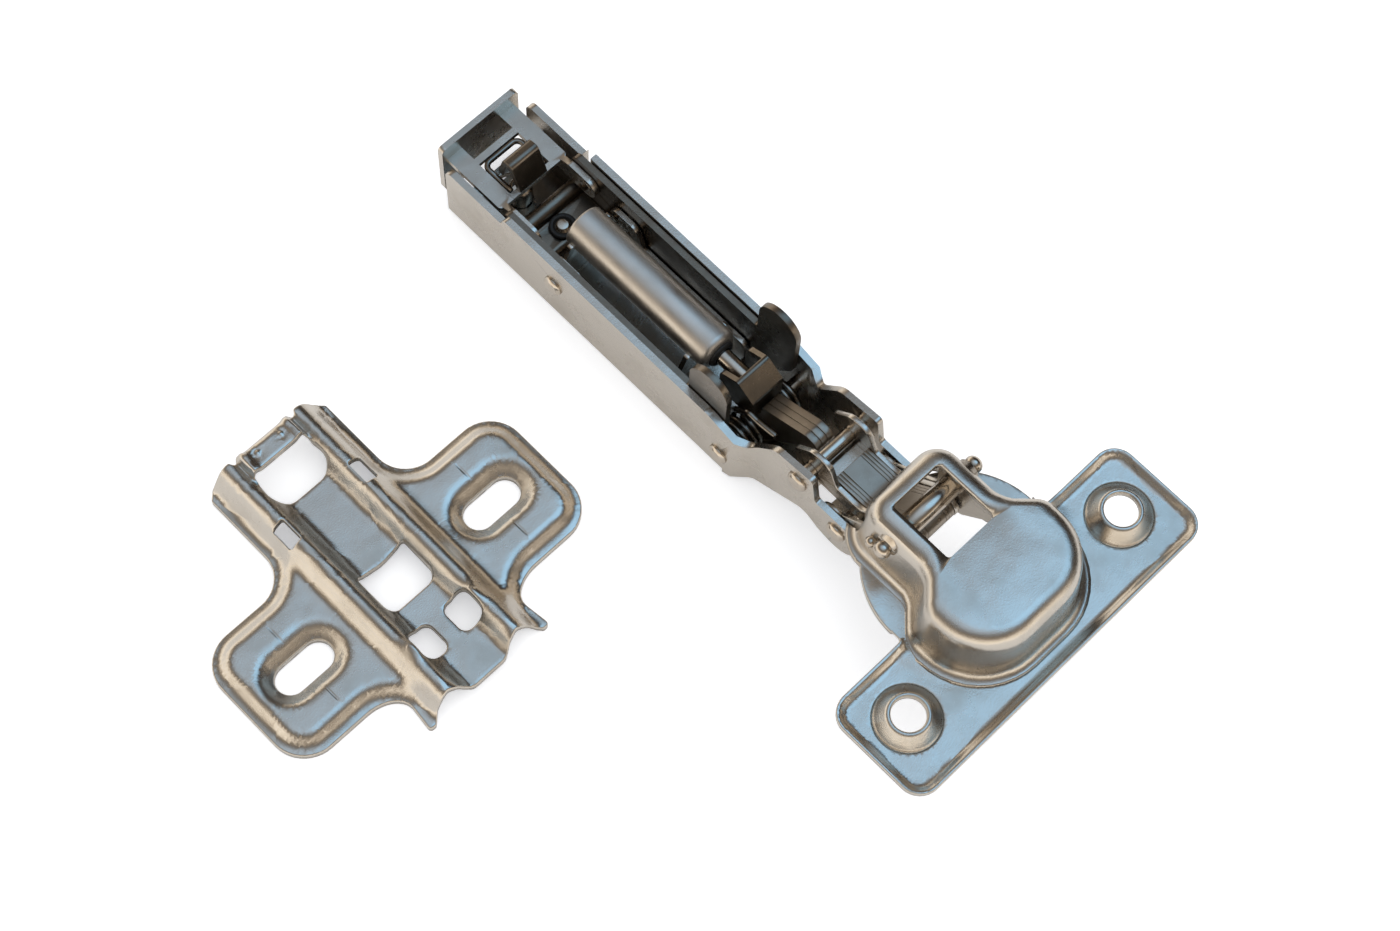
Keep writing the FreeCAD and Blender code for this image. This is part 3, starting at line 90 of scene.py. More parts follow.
def metal(name, colour, stain, polish, roughness, grain_mm, grain_depth, stain_amount=0.35, wave_mm=0.14):
    """A plated or bare metal: fine grain, a mottled tarnish and brighter rubbed places.

    The real grain is finer than the render can show, so it is drawn as coarse as grain_mm says.
    """
    material, tree = new_material(name)
    place = add(tree, "ShaderNodeTexCoord").outputs["Object"]
    grain = add(tree, "ShaderNodeTexNoise", [("Vector", place)],
                Scale=1 / (grain_mm * MM), Detail=3.0, Roughness=0.6)
    mottle = add(tree, "ShaderNodeTexNoise", [("Vector", place)],
                 Scale=1 / (MOTTLE_MM * MM), Detail=5.0, Roughness=0.62)
    waves = add(tree, "ShaderNodeTexNoise", [("Vector", place)],
                Scale=1 / (WAVE_PITCH_MM * MM), Detail=1.5)
    patches = add(tree, "ShaderNodeMapRange", [("Value", mottle.outputs["Fac"])],
                  From_Min=0.48, From_Max=0.72, To_Max=stain_amount)
    tarnished = add(tree, "ShaderNodeMix", [("Factor", patches.outputs["Result"])],
                    data_type="RGBA", A=linear(colour), B=linear(stain))
    speckle = add(tree, "ShaderNodeMapRange", [("Value", grain.outputs["Fac"])],
                  From_Min=0.62, From_Max=0.8, To_Max=0.5)
    rubbed = add(tree, "ShaderNodeMix", [
        ("Factor", speckle.outputs["Result"]), ("A", tarnished.outputs["Result"])],
        data_type="RGBA", B=linear(polish))
    gloss = add(tree, "ShaderNodeMapRange", [("Value", mottle.outputs["Fac"])],
                From_Min=0.3, From_Max=0.7, To_Min=roughness * 0.8, To_Max=roughness * 1.3)
    bump = add(tree, "ShaderNodeBump", [("Height", grain.outputs["Fac"])],
               Strength=grain_depth, Distance=GRAIN_BUMP_MM * MM)
    sway = add(tree, "ShaderNodeBump", [
        ("Height", waves.outputs["Fac"]), ("Normal", bump.outputs["Normal"])],
        Strength=1.0, Distance=wave_mm * MM)
    shader = add(tree, "ShaderNodeBsdfPrincipled", [
        ("Base Color", rubbed.outputs["Result"]), ("Roughness", gloss.outputs["Result"]),
        ("Normal", sway.outputs["Normal"])], Metallic=1.0)
    add(tree, "ShaderNodeOutputMaterial", [("Surface", shader.outputs["BSDF"])])
    return material


# Nickel plate over stamped steel: warm grey mirror-like skin, broken up by the sheet's fine grain
nickel_sheet = metal("nickel_plated_steel_sheet", "#CDC5BA", "#A39888", "#EAE4DA",
                     roughness=0.25, grain_mm=0.22, grain_depth=0.6, stain_amount=0.3)
# The same plate, darkened to paint the shade inside the arm, and a little duller
nickel_painted_shade = metal("nickel_plated_steel_painted_shade", "#7D7367", "#42382F", "#BFB3A4",
                      roughness=0.28, grain_mm=0.22, grain_depth=0.5)
# Nickel plate over turned steel: smoother and a little brighter than the sheet
nickel_pin = metal("nickel_plated_turned_pin", "#C8BDAF", "#8A7D6E", "#EFE8DC",
                   roughness=0.18, grain_mm=0.3, grain_depth=0.25)
# Drawn steel can with an even satin skin
drawn_can = metal("satin_drawn_steel_can", "#D6CEC4", "#B3AAA0", "#E8E2D8",
                  roughness=0.38, grain_mm=0.15, grain_depth=0.4, stain_amount=0.2, wave_mm=0.06)
# Punched plates left bare, with the press's dull sides and bright cut edges
punched_steel = metal("bare_punched_steel", "#A3988B", "#5D5247", "#D8CFC2",
                      roughness=0.32, grain_mm=0.2, grain_depth=0.5)
# Hard-drawn spring wire with a film of oil
spring_steel = metal("oiled_spring_steel_wire", "#8F877D", "#3E3831", "#CFC8BC",
                     roughness=0.22, grain_mm=0.3, grain_depth=0.3)

RUBBER_GRAIN_MM = 0.4


def rubber_black():
    """Black nitrile rubber: dull, almost without reflection, very slightly uneven."""
    material, tree = new_material("black_nitrile_rubber")
    place = add(tree, "ShaderNodeTexCoord").outputs["Object"]
    grain = add(tree, "ShaderNodeTexNoise", [("Vector", place)],
                Scale=1 / (RUBBER_GRAIN_MM * MM), Detail=3.0)
    shade = add(tree, "ShaderNodeMix", [("Factor", grain.outputs["Fac"])],
                data_type="RGBA", A=linear("#141312"), B=linear("#24221F"))
    shader = add(tree, "ShaderNodeBsdfPrincipled", [("Base Color", shade.outputs["Result"])],
                 Roughness=0.6)
    add(tree, "ShaderNodeOutputMaterial", [("Surface", shader.outputs["BSDF"])])
    return material


nitrile = rubber_black()

# Finish of the solid nodes: the material and the width of the broken edges in millimetres

FINISHES = {
    "outer_arm": (nickel_sheet, 0.12),
    # The darkened nickel on the parts inside the arm is painted shade, not a different finish
    "carriage": (nickel_painted_shade, 0.12),
    "screw_saddle": (nickel_painted_shade, 0.1),
    "side_screw": (nickel_pin, 0.06),
    "screw_ring": (nitrile, 0),
    "depth_screw": (nickel_pin, 0.06),
    "release_lever": (nickel_sheet, 0.12),
    "catch_hook": (nickel_painted_shade, 0.12),
    "catch_spring": (spring_steel, 0),
    "damper_cradle": (nickel_sheet, 0.1),
    "damper_rivets": (nickel_pin, 0.05),
    "damper_cylinder": (drawn_can, 0),
    "rod_seal": (nitrile, 0),
    "damper_rod": (nickel_pin, 0.05),
    "pusher_bracket": (nickel_painted_shade, 0.12),
    "rocker_plates": (punched_steel, 0.06),
    "rocker_pin": (nickel_pin, 0.05),
    "inner_link_pin": (nickel_pin, 0.05),
    "outer_link_pin": (nickel_pin, 0.05),
    "rear_cup_pin": (nickel_pin, 0.05),
    "lever_pins": (nickel_pin, 0.05),
    "closing_spring": (spring_steel, 0),
    "inner_link_saddle": (nickel_sheet, 0.1),
    "inner_link_plates": (punched_steel, 0.04),
    "inner_link_core": (punched_steel, 0.06),
    "outer_link": (nickel_sheet, 0.12),
}
# Folded sheets whose narrow faces leave no room for the full width everywhere
FOLDED_NODES = ("outer_arm", "carriage", "damper_cradle", "pusher_bracket", "release_lever")
WELD_MM = 0.002
SHARP_NODE_EDGE = math.radians(32)


def finish_node(name, material, edge):
    """Gives a CAD node its finish, and breaks its sharp edges as tumbling does."""
    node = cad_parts[name]
    node.data.materials.clear()
    node.data.materials.append(material)
    weld = node.modifiers.new("Weld", "WELD")
    weld.merge_threshold = WELD_MM * MM
    if edge:
        bevel = node.modifiers.new("Broken edges", "BEVEL")
        bevel.width = edge * MM
        bevel.segments = 2
        bevel.limit_method = "ANGLE"
        bevel.angle_limit = SHARP_NODE_EDGE
        bevel.use_clamp_overlap = name in FOLDED_NODES
        bevel.miter_outer = "MITER_ARC"
    smooth = node.modifiers.new("Even shading", "WEIGHTED_NORMAL")
    smooth.keep_sharp = True
    for face in node.data.polygons:
        face.use_smooth = True


# Sheet-metal tools; every length that they take is in millimetres

# Points that lie nearer to one another than this are one point
SAME_POINT_MM = 0.001
# An arc's radius stays this much under half its side, so that two arcs never meet
ARC_GAP = 0.01
SHARP_SHEET_EDGE = math.radians(35)


def outline_loop(mesh, points, height=0.0, segments=None):
    """A flat face through a few points; a point's third number is the radius of its corner."""
    places = [Vector((p[0], p[1], 0)) for p in points]
    corners = [mesh.verts.new((p * MM) + Vector((0, 0, height * MM))) for p in places]
    mesh.faces.new(corners)
    for i, (corner, point) in enumerate(zip(corners, points)):
        if len(point) == 2:
            continue
        radius = point[2]
        before = places[i - 1] - places[i]
        after = places[(i + 1) % len(points)] - places[i]
        reach = radius / math.tan(before.angle(after) / 2)
        bmesh.ops.bevel(
            mesh, geom=[corner], offset=reach * MM, offset_type="OFFSET",
            segments=segments or 4 + int(radius * 1.5), profile=0.5,
            affect="VERTICES", clamp_overlap=False, material=-1)


def outline_ring(mesh, points, height, segments=None):
    """The same outline as a ring of edges without a face."""
    held = set(mesh.edges)
    outline_loop(mesh, points, height, segments)
    bmesh.ops.delete(mesh, geom=[f for f in mesh.faces if len(f.verts) > 4], context="FACES_ONLY")
    return [e for e in mesh.edges if e not in held]


def mirrored(points):
    """The outline above the X axis, followed by its mirror image below it."""
    return list(points) + [(p[0], -p[1], *p[2:]) for p in reversed(points)]


def rounded_box(x0, y0, x1, y1, radius):
    """The outline of a rectangle between two opposite corners, all four of them rounded."""
    return [(x0, y0, radius), (x1, y0, radius), (x1, y1, radius), (x0, y1, radius)]


def punched_blank(outlines):
    """A flat blank: the first outline, with the others punched out of it."""
    mesh = bmesh.new()
    for points in outlines:
        outline_loop(mesh, points)
    bmesh.ops.delete(mesh, geom=mesh.faces[:], context="FACES_ONLY")
    bmesh.ops.triangle_fill(
        mesh, edges=mesh.edges[:], use_beauty=True, use_dissolve=False, normal=UPWARDS)
    return mesh


def extruded(mesh, direction):
    """Extrudes all the faces of a mesh, and gives the faces at the new end."""
    grown = bmesh.ops.extrude_face_region(mesh, geom=mesh.faces[:])["geom"]
    moved = [v for v in grown if isinstance(v, bmesh.types.BMVert)]
    bmesh.ops.translate(mesh, verts=moved, vec=direction * MM)
    return [f for f in grown if isinstance(f, bmesh.types.BMFace)]


def thick_sheet(mesh, thickness, roll):
    """Gives a flat blank its thickness, with rolled upper edges."""
    top = extruded(mesh, UPWARDS * (thickness - roll))
    bmesh.ops.recalc_face_normals(mesh, faces=mesh.faces[:])
    # Two slopes stand for the quarter round, as shares of its radius
    for inward, upward in ((0.3, 0.7), (0.7, 0.3)):
        bmesh.ops.inset_region(mesh, faces=top, use_boundary=True, use_even_offset=True,
                               thickness=inward * roll * MM, depth=upward * roll * MM)


def cut_lines(mesh, axis, places):
    """Edges across the whole mesh at places along an axis, so that it can be formed there."""
    for place in places:
        everything = mesh.verts[:] + mesh.edges[:] + mesh.faces[:]
        bmesh.ops.bisect_plane(mesh, geom=everything, dist=SAME_POINT_MM * MM,
                               plane_co=axis * (place * MM), plane_no=axis)


def steps(low, high, pitch):
    """Evenly spaced places between two ends."""
    count = round((high - low) / pitch)
    return [low + (high - low) * i / count for i in range(1, count)]


def around(place, gap):
    """A place, with one before it and one after it."""
    return [place - gap, place, place + gap]


def ramp(low, high, value):
    """A smooth rise from 0 at low to 1 at high."""
    t = min(max((value - low) / (high - low), 0.0), 1.0)
    return t * t * (3 - 2 * t)


def new_piece(name, mesh, material, body, node):
    """Turns a bmesh into a piece of the scene that rides on a body and stands for a node."""
    for face in mesh.faces:
        face.smooth = True
    data = bpy.data.meshes.new(name)
    mesh.to_mesh(data)
    mesh.free()
    data.materials.append(material)
    piece = bpy.data.objects.new(name, data)
    bpy.context.scene.collection.objects.link(piece)
    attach(piece, body)
    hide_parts(node)
    return piece


def even_shading(piece, bevel=0.0):
    """Rolled edges and shading that follows the large faces."""
    if bevel:
        rolled = piece.modifiers.new("Rolled edges", "BEVEL")
        rolled.width = bevel * MM
        rolled.segments = 2
        rolled.limit_method = "ANGLE"
        rolled.angle_limit = SHARP_SHEET_EDGE
    even = piece.modifiers.new("Even shading", "WEIGHTED_NORMAL")
    even.keep_sharp = True


# Mounting plate: stamped from one sheet; places are millimetres from the middle of its wings.
# A pair of numbers gives where a slope starts and where it ends.

PLATE_SHEET = 1.1
PLATE_ROLL = 0.2
PLATE_GRID = 0.6
PLATE_REAR = -26.0
PLATE_FRONT = 17.0
WING_HALF = 10.0
WING_SPAN = 25.3
WING_CORNER = 5.0
BODY_HALF = 9.75
INNER_CORNER = 4.7
# The raised field inside the rim
FIELD_RISE = 1.5
FIELD_SLOPE = (0.5, 2.7)
# The two rails
RAIL_RISE = 2.4
RAIL_INNER_SLOPE = (2.7, 5.6)
RAIL_OUTER_SLOPE = (5.9, 8.9)
# The screw slots in their oval dishes, and the engraved lines in front of and behind them
SLOT_Y = 16.0
SLOT_LENGTH = 8.6
SLOT_HALF = 2.1
DISH_SLOPE = (2.0, 4.4)
LINE_START = 4.4
LINE_END = 6.7
LINE_DEPTH = 0.14
LINE_HALF = 0.14
# Half the width over which a grid point counts as the bottom of a line
LINE_BOTTOM = 0.1
# The tab at the rear, with its two dimples
TAB_RISE = 2.9
TAB_FRONT = -22.4
TAB_OVERRUN = 0.9
TAB_SIDE_SLOPE = (3.7, 4.7)
TAB_REAR_SLOPE = (PLATE_REAR - 1.2, PLATE_REAR + 0.9)
DIMPLE_X = -24.3
DIMPLE_Y = 1.95
DIMPLE_GRID = 0.3
DIMPLE_RISE = 0.28
DIMPLE_SLOPE = (0.15, 0.5)
DIMPLE_RING = 0.16
DIMPLE_RING_SLOPE = (0.5, 0.9)
# The lugs on the rails beside the front windows
LUG_X = 8.6
LUG_Y = 5.1
LUG_RISE = 0.85
LUG_LENGTH = 1.5
LUG_WIDTH = 0.62
# The rails' ends, which dip at the front edge
DIP = 0.5
DIP_SLOPE = (13.5, PLATE_FRONT)
DIP_INNER_SLOPE = (4.0, 5.5)
DIP_OUTER_SLOPE = (7.5, 9.0)


def distance_inside_plate(x, y):
    """How far a point lies inside the long edges of the plate."""
    body = abs(y) - BODY_HALF
    across = abs(x) - WING_HALF + WING_CORNER
    along = abs(y) - WING_SPAN + WING_CORNER
    wing = math.hypot(max(across, 0), max(along, 0)) + min(max(across, along), 0) - WING_CORNER
    corner = math.hypot(max(INNER_CORNER - body, 0), max(INNER_CORNER - wing, 0))
    return corner - max(INNER_CORNER, min(body, wing))


def plate_height(x, y):
    """The stamped form: raised field, two rails, oval dishes, the rear tab and small marks."""
    side = abs(y)
    height = FIELD_RISE * ramp(*FIELD_SLOPE, distance_inside_plate(x, y))
    height += RAIL_RISE * ramp(*RAIL_INNER_SLOPE, side) * (1 - ramp(*RAIL_OUTER_SLOPE, side))
    from_slot = math.hypot(x, max(abs(side - SLOT_Y) - SLOT_LENGTH / 2 + SLOT_HALF, 0))
    height -= FIELD_RISE * (1 - ramp(*DISH_SLOPE, from_slot))
    if abs(side - SLOT_Y) < LINE_BOTTOM and LINE_START < abs(x) < LINE_END:
        height -= LINE_DEPTH
    if x < TAB_FRONT + TAB_OVERRUN:
        height += TAB_RISE * (1 - ramp(*TAB_SIDE_SLOPE, side)) * ramp(*TAB_REAR_SLOPE, x)
        from_dimple = math.hypot(x - DIMPLE_X, side - DIMPLE_Y)
        height += DIMPLE_RISE * (1 - ramp(*DIMPLE_SLOPE, from_dimple))
        height -= DIMPLE_RING * (1 - ramp(*DIMPLE_RING_SLOPE, from_dimple))
    height += LUG_RISE * math.exp(-((x - LUG_X) / LUG_LENGTH) ** 2 - ((side - LUG_Y) / LUG_WIDTH) ** 2)
    dip = ramp(*DIP_SLOPE, x) * ramp(*DIP_INNER_SLOPE, side) * (1 - ramp(*DIP_OUTER_SLOPE, side))
    return height - DIP * dip


def plate_outlines():
    """The plate's edge, then its windows and slots."""
    edge = mirrored([
        (PLATE_FRONT, 2.6, 1.6), (16.0, 4.4, 1.0), (15.6, 5.8, 1.0), (15.9, 7.9, 0.8),
        (PLATE_FRONT, 9.2, 0.3), (PLATE_FRONT, 10.2, 0.5), (13.2, BODY_HALF, 3.0),
        (WING_HALF, BODY_HALF, INNER_CORNER), (WING_HALF, WING_SPAN, WING_CORNER),
        (-WING_HALF, WING_SPAN, WING_CORNER), (-WING_HALF, BODY_HALF, INNER_CORNER),
        (-25.0, BODY_HALF, 0.5), (PLATE_REAR, 8.7, 0.5), (PLATE_REAR, 5.5, 0.3),
        (-25.2, 4.9, 0.3), (PLATE_REAR, 4.3, 0.3),
    ])
    rear_window = mirrored([(-17.0, 4.8, 2.7), (TAB_FRONT, 4.3, 0.4)])
    centre_window = mirrored([(3.0, 3.8, 1.5), (-3.6, 3.9, 0.5)])
    centre_window.insert(2, (-3.1, 0, 6.0))
    outlines = [edge, rear_window[::-1], centre_window]
    near, far = SLOT_Y - SLOT_LENGTH / 2, SLOT_Y + SLOT_LENGTH / 2
    for sign in (1, -1):
        outlines.append(rounded_box(11.1, sign * 1.2, 6.5, sign * 4.8, 1.2))
        outlines.append(rounded_box(-15.5, sign * 5.5, -11.9, sign * 7.3, 0.3))
        outlines.append(rounded_box(-SLOT_HALF, sign * near, SLOT_HALF, sign * far, SLOT_HALF - ARC_GAP))
    return outlines


def mounting_plate():
    """The stamped plate, at the place of its plain solid."""
    low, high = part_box("mounting_plate")
    mesh = punched_blank(plate_outlines())
    thick_sheet(mesh, PLATE_SHEET, PLATE_ROLL)
    cut_lines(mesh, LENGTHWAYS, steps(PLATE_REAR, PLATE_FRONT, PLATE_GRID) + around(DIMPLE_X, DIMPLE_GRID))
    lines = [sign * place for sign in (1, -1) for place in around(SLOT_Y, LINE_HALF)]
    dimples = around(-DIMPLE_Y, DIMPLE_GRID) + around(DIMPLE_Y, DIMPLE_GRID)
    cut_lines(mesh, CROSSWAYS, steps(-WING_SPAN, WING_SPAN, PLATE_GRID) + lines + dimples)
    for vert in mesh.verts:
        vert.co.z += plate_height(vert.co.x / MM, vert.co.y / MM) * MM
    middle = Vector((low[0] - PLATE_REAR * MM, (low[1] + high[1]) / 2, 0))
    bmesh.ops.translate(mesh, verts=mesh.verts[:], vec=middle)
    even_shading(new_piece("stamped_mounting_plate", mesh, nickel_sheet, "arm", "mounting_plate"))


# Cup and flange: drawn from one sheet; places are millimetres from the cup's axis

CUP_SHEET = 0.9
CUP_TOP = 25.0
# The flange: two wings that join round the cup, with a lip along their edges
FLANGE_TOP = 15.3
FLANGE_ROLL = 0.15
FLANGE_GRID = 0.45
FLANGE_FAR = 17.5
FLANGE_NEAR = 1.7
FLANGE_SPAN = 25.8
FLANGE_CORNER = 3.0
FLANGE_INNER_CORNER = 0.7
DISC_RADIUS = 12.6
LIP_HEIGHT = 0.9
LIP_SLOPE = (0.25, 1.35)
FLANGE_RISE = 0.25
FLANGE_RISE_SLOPE = (13.4, 15.6)
# The pressed cones in the screw holes: distance from the hole's axis, height over the flange
SCREW_HOLE_X = 8.93
SCREW_HOLE_Y = 19.0
CONE_FOOT = 4.4
CONE_SECTION = [
    (4.42, -0.8), (4.42, -0.08), (4.2, 0.05), (3.95, 0.3), (2.95, 1.6), (2.75, 1.83),
    (2.5, 1.92), (2.28, 1.82), (2.2, 1.6), (2.2, 1.0), (3.3, -0.5), (3.5, -0.8),
]
# The cup's plan: a broad far end, shoulders and a narrower neck
CUP_FAR = 13.4
CUP_HALF = 11.2
CUP_CORNER = 8.4
SHOULDER_FRONT = 2.6
SHOULDER_CORNER = 3.4
SHOULDER_REAR = -1.2
NECK_REAR = -12.5
NECK_HALF = 7.3
NECK_CORNER = 3.6
PLAN_SEGMENTS = 10
# The cup's side: it sinks into the flange, leans in and ends in a broad round
FOOT_FILLET = 1.6
FOOT_SINK = 0.03
WALL_OUTSET = 0.3
WALL_LEAN = 0.1
CROWN_ROUND = 2.5
QUARTER_TURN = [math.radians(15 * turn) for turn in range(7)]
# The mouth at the neck's rear and the window in the top
MOUTH_HALF = 6.25
MOUTH_DEPTH = -9.5
MOUTH_TOP = 20.8
WINDOW_BACK = -9.4
WINDOW_HALF = 4.0
WINDOW_CORNER = 0.5
# A lug at the window's side, as places along the neck and heights
WINDOW_LUG = [(-9.2, 24.2), (-8.6, 16.87, 1.6), (-4.7, 16.87, 1.8), (-0.3, 22.5, 0.8), (-0.3, 24.2)]
WINDOW_LUG_SHEET = 0.5
WINDOW_LUG_ROLL = 0.08
# The riveted heads of the upper pin, and the dimple beside the near one
HEAD_RADIUS = 1.2
HEAD_FLATNESS = 0.85
HEAD_OUTSET = 0.7
NECK_DIMPLE = Vector((-8.9, -7.7, 20.6))
NECK_DIMPLE_RADIUS = 0.75


def cup_plan(grow):
    """Plan of the cup's foot; grow moves every side outwards."""
    return mirrored([
        (CUP_FAR + grow, CUP_HALF + grow, CUP_CORNER + grow),
        (SHOULDER_FRONT, CUP_HALF + grow, SHOULDER_CORNER + grow),
        (SHOULDER_REAR, NECK_HALF + grow, NECK_CORNER - grow),
        (NECK_REAR - grow, NECK_HALF + grow, NECK_CORNER + grow),
    ])


def flange_height(x, y):
    """The lip round the wings, and the slight rise round the cup."""
    from_edge = min(FLANGE_FAR - x, FLANGE_SPAN - abs(y))
    if abs(y) > DISC_RADIUS:
        from_edge = min(from_edge, x - FLANGE_NEAR)
    corner_x = abs(x - (FLANGE_FAR + FLANGE_NEAR) / 2) - (FLANGE_FAR - FLANGE_NEAR) / 2 + FLANGE_CORNER
    corner_y = abs(y) - FLANGE_SPAN + FLANGE_CORNER
    if corner_x > 0 and corner_y > 0:
        from_edge = FLANGE_CORNER - math.hypot(corner_x, corner_y)
    height = FLANGE_RISE * (1 - ramp(*FLANGE_RISE_SLOPE, math.hypot(x, y)))
    return height + LIP_HEIGHT * (1 - ramp(*LIP_SLOPE, from_edge))


def cup_flange():
    """The flange with its raised lip; a turned cone stands in each screw hole."""
    edge = mirrored([
        (FLANGE_FAR, FLANGE_SPAN, FLANGE_CORNER), (FLANGE_NEAR, FLANGE_SPAN, FLANGE_CORNER),
        (FLANGE_NEAR, DISC_RADIUS, FLANGE_INNER_CORNER),
        (-DISC_RADIUS, DISC_RADIUS, DISC_RADIUS - ARC_GAP),
    ])
    screw_holes = [Vector((SCREW_HOLE_X, sign * SCREW_HOLE_Y, 0)) for sign in (1, -1)]
    cone_feet = [rounded_box(hole.x + CONE_FOOT, hole.y + CONE_FOOT, hole.x - CONE_FOOT, hole.y - CONE_FOOT,
                             CONE_FOOT - ARC_GAP) for hole in screw_holes]
    mesh = punched_blank([edge, cup_plan(-CUP_SHEET)] + cone_feet)
    thick_sheet(mesh, CUP_SHEET, FLANGE_ROLL)
    cut_lines(mesh, LENGTHWAYS, steps(-DISC_RADIUS, FLANGE_FAR, FLANGE_GRID) + [MOUTH_DEPTH])
    cut_lines(mesh, CROSSWAYS, steps(-FLANGE_SPAN, FLANGE_SPAN, FLANGE_GRID) + [-MOUTH_HALF, MOUTH_HALF])
    for vert in mesh.verts:
        vert.co.z += (FLANGE_TOP - CUP_SHEET + flange_height(vert.co.x / MM, vert.co.y / MM)) * MM
    for hole in screw_holes:
        section = [mesh.verts.new((hole + Vector((r, 0, FLANGE_TOP + z))) * MM) for r, z in CONE_SECTION]
        loop = [mesh.edges.new(pair) for pair in zip(section, section[1:] + section[:1])]
        bmesh.ops.spin(mesh, geom=section + loop, cent=hole * MM, axis=UPWARDS, angle=math.tau,
                       steps=48, use_merge=True)
    bmesh.ops.translate(mesh, verts=mesh.verts[:], vec=CUP * MM)
    bmesh.ops.recalc_face_normals(mesh, faces=mesh.faces[:])
    even_shading(new_piece("cup_flange", mesh, nickel_sheet, "cup", "cup"))


def cup_profile():
    """The cup's side from the foot up: how far it stands outside its plan, and its height."""
    foot = FLANGE_TOP + FLANGE_RISE - FOOT_SINK
    shoulder = CUP_TOP - CROWN_ROUND
    lean = WALL_LEAN * (shoulder - foot - FOOT_FILLET)
    profile = []
    for a in QUARTER_TURN:
        outset = WALL_OUTSET + FOOT_FILLET * (1 - math.sin(a))
        profile.append((outset, foot + FOOT_FILLET * (1 - math.cos(a))))
    for a in QUARTER_TURN:
        outset = WALL_OUTSET - lean - CROWN_ROUND * (1 - math.cos(a))
        profile.append((outset, shoulder + CROWN_ROUND * math.sin(a)))
    return profile


def cup_shell():
    """The drawn cup: foot fillet, tapering wall, broad upper edge, window and mouth."""
    mesh = bmesh.new()
    below = None
    for outset, level in cup_profile():
        ring = outline_ring(mesh, cup_plan(outset), level, PLAN_SEGMENTS)
        if below:
            bmesh.ops.bridge_loops(mesh, edges=below + ring)
        below = ring
    window_corners = [(0.0, WINDOW_HALF, WINDOW_CORNER), (WINDOW_BACK, WINDOW_HALF, WINDOW_CORNER)]
    window = outline_ring(mesh, mirrored(window_corners), CUP_TOP)
    bmesh.ops.triangle_fill(
        mesh, edges=below + window, use_beauty=True, use_dissolve=False, normal=UPWARDS)
    cut_lines(mesh, CROSSWAYS, [MOUTH_HALF, -MOUTH_HALF])
    cut_lines(mesh, LENGTHWAYS, [MOUTH_DEPTH])
    cut_lines(mesh, UPWARDS, [MOUTH_TOP])
    mouth = []
    for face in mesh.faces:
        centre = face.calc_center_median() / MM
        if centre.x < MOUTH_DEPTH and abs(centre.y) < MOUTH_HALF and centre.z < MOUTH_TOP:
            mouth.append(face)
    bmesh.ops.delete(mesh, geom=mouth, context="FACES")
    bmesh.ops.translate(mesh, verts=mesh.verts[:], vec=CUP * MM)
    bmesh.ops.recalc_face_normals(mesh, faces=mesh.faces[:])
    if sum(f.normal.z * f.calc_area() for f in mesh.faces) < 0:
        bmesh.ops.reverse_faces(mesh, faces=mesh.faces[:])
    piece = new_piece("drawn_cup", mesh, nickel_sheet, "cup", "cup")
    sheet = piece.modifiers.new("Sheet", "SOLIDIFY")
    sheet.thickness = CUP_SHEET * MM
    sheet.offset = -1
    even_shading(piece)


def window_lugs():
    """Lugs bent down from the window's sides, which carry the lower cup pin."""
    mesh = bmesh.new()
    outline_loop(mesh, WINDOW_LUG)
    bmesh.ops.rotate(mesh, verts=mesh.verts[:], matrix=Matrix.Rotation(math.radians(90), 3, "X"))
    extruded(mesh, CROSSWAYS * WINDOW_LUG_SHEET)
    bmesh.ops.translate(mesh, verts=mesh.verts[:], vec=CROSSWAYS * (WINDOW_HALF * MM))
    near_lug = mesh.verts[:] + mesh.edges[:] + mesh.faces[:]
    bmesh.ops.mirror(mesh, geom=near_lug, axis="Y", merge_dist=SAME_POINT_MM * MM)
    bmesh.ops.recalc_face_normals(mesh, faces=mesh.faces[:])
    bmesh.ops.translate(mesh, verts=mesh.verts[:], vec=CUP * MM)
    piece = new_piece("cup_window_lugs", mesh, nickel_sheet, "cup", "cup")
    even_shading(piece, WINDOW_LUG_ROLL)


def upper_cup_pin():
    """The pin through the cup's neck, with its riveted heads, and the dimple beside the near one."""
    low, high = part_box("window_pin")
    middle = (Vector(low) + Vector(high)) / 2
    radius = (high[2] - low[2]) / 2
    length = high[1] - low[1]
    mesh = bmesh.new()
    bmesh.ops.create_cone(
        mesh, cap_ends=True, segments=40, radius1=radius, radius2=radius, depth=length,
        matrix=Matrix.Translation(middle) @ Matrix.Rotation(math.radians(90), 4, "X"))
    for sign in (1, -1):
        head = bmesh.ops.create_uvsphere(
            mesh, u_segments=28, v_segments=16, radius=HEAD_RADIUS * MM)["verts"]
        bmesh.ops.scale(mesh, verts=head, vec=(1, HEAD_FLATNESS, 1))
        outset = Vector((0, sign * (length / 2 + HEAD_OUTSET * MM), 0))
        bmesh.ops.translate(mesh, verts=head, vec=middle + outset)
    dimple = bmesh.ops.create_uvsphere(
        mesh, u_segments=20, v_segments=12, radius=NECK_DIMPLE_RADIUS * MM)["verts"]
    bmesh.ops.translate(mesh, verts=dimple, vec=(CUP + NECK_DIMPLE) * MM)
    even_shading(new_piece("upper_cup_pin", mesh, nickel_pin, "cup", "window_pin"))


# Table, light and camera; lengths are metres


